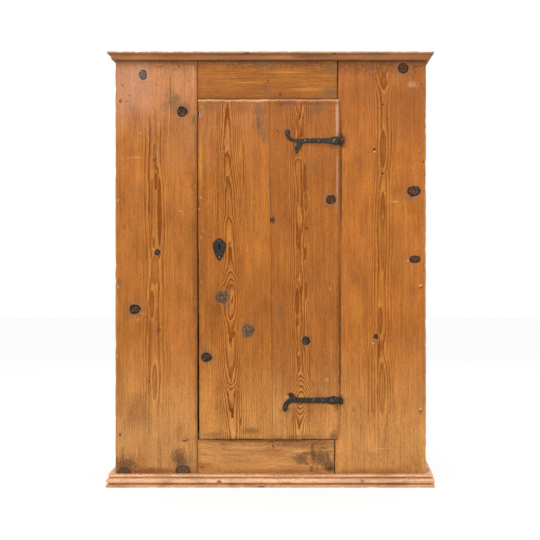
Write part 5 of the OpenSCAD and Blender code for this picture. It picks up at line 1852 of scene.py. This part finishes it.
HEADER = Pine(
    "header_pine", Grain.LEVEL, heart=(1750.0, 1735.0), seed=5.0, span=70.0, rings=7.0, contrast=0.35,
    wander=0.9, inward=FRONT_DRY, early=(0.375, 0.130, 0.028), grime=0.4,
    edges=Edges((1525, 1525), (1682, 1682), -287.8, 262),
    marks=each(Mark, (
        # The broad brown band along the head, the first mark here, paints the cornice's shadow on the header
        # along with its grime.
        (1684, -20, 56, 900, BROWN, 0.85, 0.05), (1672, -20, 14, 330, GREEN, 0.3, 0.1),
        (1662, -24, 22, 52, GREY, 0.5), (1644, 244, 30, 30, GREY, 0.5), (1554, 236, 20, 50, GREY, 0.65),
        (1596, -11, 4.5, 4.5, SOOT_AND_SHADE, 0.85), (1541, 36, 15, 6, DIRT_AND_SHADE, 0.85), (1532, 22, 8, 30, GREY, 0.4),
        (1590, -240, 12, 18, RUST, 0.5), (1610, 180, 10, 40, RUST, 0.4), (1575, 60, 8, 90, RUST, 0.35),
        (1560, -20, 26, 26, GREY, 0.35), (1605, -120, 5, 120, DIRT_AND_SHADE, 0.35), (1590, -90, 4, 110, YELLOW_AND_HIGHLIGHT, 0.5),
        (1630, 60, 5, 130, YELLOW_AND_HIGHLIGHT, 0.4), (1540, -240, 12, 40, RUST, 0.5), (1564, 130, 4, 90, YELLOW_AND_HIGHLIGHT, 0.4),
    )),
)

BOTTOM_RAIL = Pine(
    "bottom_rail_pine", Grain.LEVEL, heart=(240.0, 250.0), seed=6.0, span=60.0, rings=4.0, contrast=0.25,
    wander=0.8, inward=FRONT_DRY, early=(0.65, 0.303, 0.098), grime=0.4,
    edges=Edges((40, 40), (186, 186), -287.8, 250),
    marks=each(Mark, (
        (137, 112, 5, 30, PALE_AND_HIGHLIGHT, 0.5), (128, 140, 8, 26, DIRT_AND_SHADE, 0.6), (88, 140, 14, 12, DIRT_AND_SHADE, 0.6),
        (136, 196, 4, 24, PALE_AND_HIGHLIGHT, 0.45), (112, 168, 26, 12, DIRT_AND_SHADE, 0.55), (150, 210, 8, 30, DIRT_AND_SHADE, 0.5),
        (112, 196, 44, 30, BROWN, 0.6), (118, 226, 30, 12, BROWN, 0.7), (157, 9.5, 17, 3, SOOT_AND_SHADE, 0.85, 0.4),
        (150, -95, 1.8, 85, PALE_AND_HIGHLIGHT, 0.55, 0.5), (157, -150, 1.6, 40, PALE_AND_HIGHLIGHT, 0.4),
        (106, 119, 26, 34, BROWN, 0.6, 0.5), (109, 120, 15, 21, GREY, 0.6, 0.4),
        (80, 229, 30, 34, DIRT_AND_SHADE, 0.7, 0.3), (112, 185, 70, 70, BROWN, 0.4), (66, 234, 16, 20, SOOT_AND_SHADE, 0.6),
        (140, 168, 48, 14, BROWN, 0.6), (104, 212, 50, 40, GREY, 0.5), (68, 160, 20, 12, DIRT_AND_SHADE, 0.5),
        # The dark line at 178, -10 here and the two at 172 and 166 on the next line are painted shadow under
        # the door's foot.
        (57, -20, 14, 290, RUST, 0.5), (178, -10, 9, 320, DIRT_AND_SHADE, 0.6),
        (172, -150, 13, 230, DIRT_AND_SHADE, 0.28, 0.35), (166, 120, 24, 200, DIRT_AND_SHADE, 0.5, 0.3),
        (102, -222, 6, 4, SOOT_AND_SHADE, 0.6), (127, -262, 2.5, 12, DIRT_AND_SHADE, 0.6), (100, -120, 5, 60, GREY, 0.3),
        (166, -190, 10, 16, DIRT_AND_SHADE, 0.4), (75, -270, 8, 20, DIRT_AND_SHADE, 0.5), (135, 90, 3, 26, PALE_AND_HIGHLIGHT, 0.35),
    )),
)

LEDGE = Pine(
    "ledge_pine", Grain.LEVEL, heart=(340.0, 340.0), seed=61.0, early=(0.42, 0.21, 0.085),
    late=(0.28, 0.12, 0.04), gloss=0.6,
)

CORNICE = Pine(
    "cornice_pine", Grain.LEVEL, heart=(1900.0, 1900.0), seed=7.0, early=(0.365, 0.162, 0.074),
    late=(0.13, 0.05, 0.018), contrast=0.7, edges=Edges((1672, 1672), (1720, 1720), -642, 642), grime=0.3,
    marks=each(Mark, (
        (1710, 0, 9, 2600, PALE_AND_HIGHLIGHT, 0.6, 0.4), (1682, 0, 5, 2600, RUST, 0.3, 0.3),
        (1697, 0, 3, 2600, DIRT_AND_SHADE, 0.3, 0.3), (1690, -380, 12, 90, RUST, 0.4),
        (1692, 150, 12, 120, DIRT_AND_SHADE, 0.35), (1700, 420, 8, 60, DIRT_AND_SHADE, 0.4), (1702, -90, 5, 16, SOOT_AND_SHADE, 0.7),
        (1700, 250, 4, 11, SOOT_AND_SHADE, 0.7), (1703, -510, 4, 10, SOOT_AND_SHADE, 0.6), (1688, 30, 10, 70, PALE_AND_HIGHLIGHT, 0.2),
    )),
)

BASE = Pine(
    "base_pine", Grain.LEVEL, heart=(-200.0, -200.0), seed=8.0, early=(1.0, 0.60, 0.34),
    late=(0.62, 0.26, 0.10), contrast=0.3,
    marks=each(Mark, (
        # The long marks at 13 and 37.5 paint the shade in the quirks, the one at 2 the shade along the foot,
        # and the one at 51 darkens the top arris.
        (13, 0, 5, 2600, UMBER, 0.55, 0.3), (37.5, 0, 5.5, 2600, UMBER, 0.5, 0.3),
        (2, 0, 9, 2600, UMBER, 0.33, 0.6), (51, 0, 2.5, 2600, UMBER, 0.5, 0.3),
        (25, -420, 8, 120, RUST, 0.25), (48, 120, 4, 200, RUST, 0.3), (30, 420, 6, 160, RUST, 0.25),
        (24, -201, 9, 14, DIRT_AND_SHADE, 0.85), (28, -199, 3, 5, PALE_AND_HIGHLIGHT, 0.6), (15, -160, 3, 12, SOOT_AND_SHADE, 0.8),
        (26, 359, 8, 12, DIRT_AND_SHADE, 0.6), (26, 508, 7, 7, PALE_AND_HIGHLIGHT, 0.8), (3, -35, 5, 26, SOOT_AND_SHADE, 0.85),
        (30, 30, 3, 8, RUST, 0.6), (15, 60, 3, 20, DIRT_AND_SHADE, 0.6),
    )),
)

UPPER_STRAP = Strap(
    "upper", 1360.0,
    bar=each(Station, (
        (4, -1, 0, 8.4, 4), (10, -0.5, 0, 13.6, 4.3), (16, 0, 0, 16.4, 4.6), (23, 0.3, 0, 17.2, 4.8),
        (31, 0.2, 0, 15.4, 4.6), (40, 0, 0, 12.4, 4.4), (52, 0, 0, 10.2, 4.2), (75, 0, 0, 9.6, 4.0),
        (105, 0, 0, 9.5, 4.0), (135, -0.4, 0, 9.3, 4.0), (155, -1, 0, 8.8, 4.0), (172, -0.8, 0, 7.0, 4.2),
        (186, 0.2, 10, 6.4, 4.4), (197, 4, 32, 6.8, 4.6), (205.5, 11, 55, 7.6, 4.8),
        (210.5, 19, 74, 8.2, 5.0), (212, 26, 86, 9.0, 5.4), (212, 33, 90, 9.8, 5.8),
        (211.5, 39, 92, 8.0, 5.4), (211.4, 43, 92, 3.6, 4.2),
    )),
    branch=each(Station, (
        (148, -3, -24, 6.5, 3.6), (158, -9, -38, 8.0, 3.8), (166, -16, -52, 8.6, 4.0),
        (171.5, -24, -70, 9.8, 4.3), (174, -31, -82, 10.4, 4.5), (174.5, -38, -88, 8.6, 4.3),
        (174.6, -44, -90, 4.6, 3.8), (174.6, -53, -90, 1.6, 3.0),
    )),
    nails=((30.1, 6.4, 2.6), (91.0, 4.2, 1.8), (143.0, 4.4, 1.6)), pin_stand=26.0, seed=5.0,
)

LOWER_STRAP = Strap(
    "lower", 339.0,
    bar=each(Station, (
        (4, -1, 0, 8.4, 4), (10, -0.5, 0, 11.8, 4.3), (20, 0, 0, 14.8, 4.6), (30, 0, 0, 17.0, 4.8),
        (38, -0.3, 0, 16.6, 4.7), (47, -0.3, 0, 14.0, 4.5), (58, -0.3, 0, 12.0, 4.3),
        (80, -0.3, 0, 10.8, 4.0), (110, -0.3, 0, 10.6, 4.0), (140, -0.2, 0, 10.6, 4.0),
        (165, 0.2, 4, 10.8, 4.0), (182, 1.4, 4, 10.8, 4.2), (195, 0.6, -14, 10.4, 4.4),
        (206, -4, -34, 10.0, 4.6), (214.5, -11.5, -54, 9.8, 4.8), (219.6, -20, -72, 9.4, 5.0),
        (221.6, -29, -86, 9.2, 5.2), (221.4, -36, -94, 9.0, 5.2), (221, -41, -94, 6.6, 4.8),
        (220.8, -44.5, -94, 3.0, 4.0),
    )),
    branch=each(Station, (
        (180, 4, 44, 7.0, 3.6), (187, 10.5, 46, 7.6, 4.0), (193, 16, 46, 8.6, 4.6),
        (198, 20.5, 46, 9.6, 5.0), (202, 24.5, 48, 8.2, 4.8), (205, 28, 48, 4.0, 4.0),
    )),
    nails=((38.1, 4.6, 1.8), (73.0, 4.0, 1.5), (109.0, 4.4, 1.9)), pin_stand=5.0, seed=8.0,
)


@dataclass
class Studio:
    """The camera, the lamps, the floor and the white behind the cupboard, in metres.

    Each lamp has its place, what it points at, the side of its square face and its watts. The floor
    glows in plain sight, but not under the cupboard, which spans twice the two values of under.
    """

    eye: Point = (0.194, -4.718, 0.985)
    lens: float = 76.13
    shift: Pair = (-0.0925, -0.063)
    lamps: tuple[tuple[str, Point, Point, float, float], ...] = (
        ("key", (-0.9, -3.0, 3.3), (0.0, -0.2, 0.9), 2.2, 62.0),
        ("fill", (2.6, -3.2, 1.6), (0.0, -0.2, 0.8), 2.4, 26.0),
        ("rear", (0.4, 3.0, 3.0), (0.0, 0.2, 1.0), 2.4, 40.0),
    )
    ambient: float = 0.62
    floor_side: float = 9.0
    floor_tone: Colour = (0.86, 0.86, 0.86)
    floor_rough: float = 0.9
    glow_strength: float = 1.12
    glow_share: float = 0.72
    under: Pair = (0.6, 0.24)
    under_fade: float = 0.01

    def build(self) -> None:
        """Sets up the whole studio."""
        scene = bpy.context.scene
        scene.view_settings.view_transform = "Standard"
        camera = bpy.data.cameras.new("camera")
        camera.lens = self.lens
        camera.sensor_width = 36.0
        camera.shift_x, camera.shift_y = self.shift
        stand = bpy.data.objects.new("camera", camera)
        stand.location = self.eye
        stand.rotation_euler = (math.radians(90), 0.0, 0.0)
        scene.collection.objects.link(stand)
        scene.camera = stand
        for lamp in self.lamps:
            self.lamp(*lamp)
        self.backdrop()
        self.floor()

    def lamp(self, name: str, spot: Point, target: Point, size: float, watts: float) -> None:
        """Adds a soft lamp.

        Args:
            name: the lamp's name.
            spot: where it hangs.
            target: what it points at.
            size: the side of its square face, in metres.
            watts: its power.
        """
        data = bpy.data.lights.new(name, "AREA")
        data.size = size
        data.energy = watts
        lamp = bpy.data.objects.new(name, data)
        lamp.location = spot
        lamp.rotation_euler = (Vector(target) - Vector(spot)).to_track_quat("-Z", "Y").to_euler()
        bpy.context.scene.collection.objects.link(lamp)

    def plain_sight(self, tree: NodeTree) -> Field:
        """Is 1 where the camera, a reflection or clear glass looks, and 0 for light on the object."""
        rays = tree.nodes.new("ShaderNodeLightPath")
        total = Field(tree, rays.outputs["Is Camera Ray"]) + Field(tree, rays.outputs["Is Glossy Ray"])
        return total.made("ADD", Field(tree, rays.outputs["Is Transmission Ray"]), clamp=True)

    def backdrop(self) -> None:
        """Makes the world white to look at and plain grey as light."""
        world = bpy.data.worlds.new("white")
        bpy.context.scene.world = world
        world.use_nodes = True
        tree = world.node_tree
        strength = self.plain_sight(tree).ramp(0.0, 1.0, self.ambient, 1.0)
        background = tree.nodes["Background"]
        background.inputs["Color"].default_value = (1.0, 1.0, 1.0, 1.0)
        feed(tree, background.inputs["Strength"], strength)

    def floor(self) -> None:
        """Lays a pale floor that keeps the cupboard's shadow."""
        bm = bmesh.new()
        bmesh.ops.create_grid(bm, x_segments=1, y_segments=1, size=self.floor_side)
        mesh = bpy.data.meshes.new("floor")
        bm.to_mesh(mesh)
        bm.free()
        shader = Shader.called("pale_floor")
        tree = shader.tree
        shader.surface.inputs["Base Color"].default_value = (*self.floor_tone, 1.0)
        shader.surface.inputs["Roughness"].default_value = self.floor_rough
        glow = tree.nodes.new("ShaderNodeEmission")
        glow.inputs["Strength"].default_value = self.glow_strength
        both = tree.nodes.new("ShaderNodeMixShader")
        spot = tree.nodes.new("ShaderNodeSeparateXYZ")
        feed(tree, spot.inputs[0], Field(tree, tree.nodes.new("ShaderNodeTexCoord").outputs["Object"]))
        across, deep = (
            Field(tree, spot.outputs[axis]).made("ABSOLUTE").ramp(half, half - self.under_fade)
            for axis, half in enumerate(self.under)
        )
        hidden = across * deep
        share = self.plain_sight(tree).scaled(self.glow_share) * hidden.scaled(-1.0, 1.0)
        feed(tree, both.inputs[0], share)
        tree.links.new(shader.surface.outputs[0], both.inputs[1])
        tree.links.new(glow.outputs[0], both.inputs[2])
        tree.links.new(both.outputs[0], tree.nodes["Material Output"].inputs["Surface"])
        mesh.materials.append(shader.material)
        ground = bpy.data.objects.new("floor", mesh)
        bpy.context.scene.collection.objects.link(ground)


def main() -> None:
    logging.basicConfig(level=logging.INFO, format="%(message)s")
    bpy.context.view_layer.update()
    Studio().build()
    Carcass().build()
    FrontBoards().build()
    Moulding(
        "cornice", "cornice_pine", 1677.0, Wear(1.6, 1.0, 55, 7, 31.0), cornice_section, CORNICE,
        (
            *nicks((-640, -246, 1708), (640, -246, 1708), (0, 1.0, -1.3), 70, 11),
            *nicks((-620, -226, 1686), (620, -226, 1686), (0, 0.9, 1.0), 30, 12),
        ),
    ).build()
    Moulding(
        "base_moulding", "pale_pine", 0.0, Wear(1.2, 0.5, 60, 8, 33.0), base_section, BASE,
        tuple(nicks((-640, -250, 4), (640, -250, 4), (0, 1.0, 0.9), 40, 13)),
    ).build()
    Door().build()
    UPPER_STRAP.build()
    LOWER_STRAP.build()
    Escutcheon().build()
    Fastenings().build()


if __name__ == "__main__":
    main()
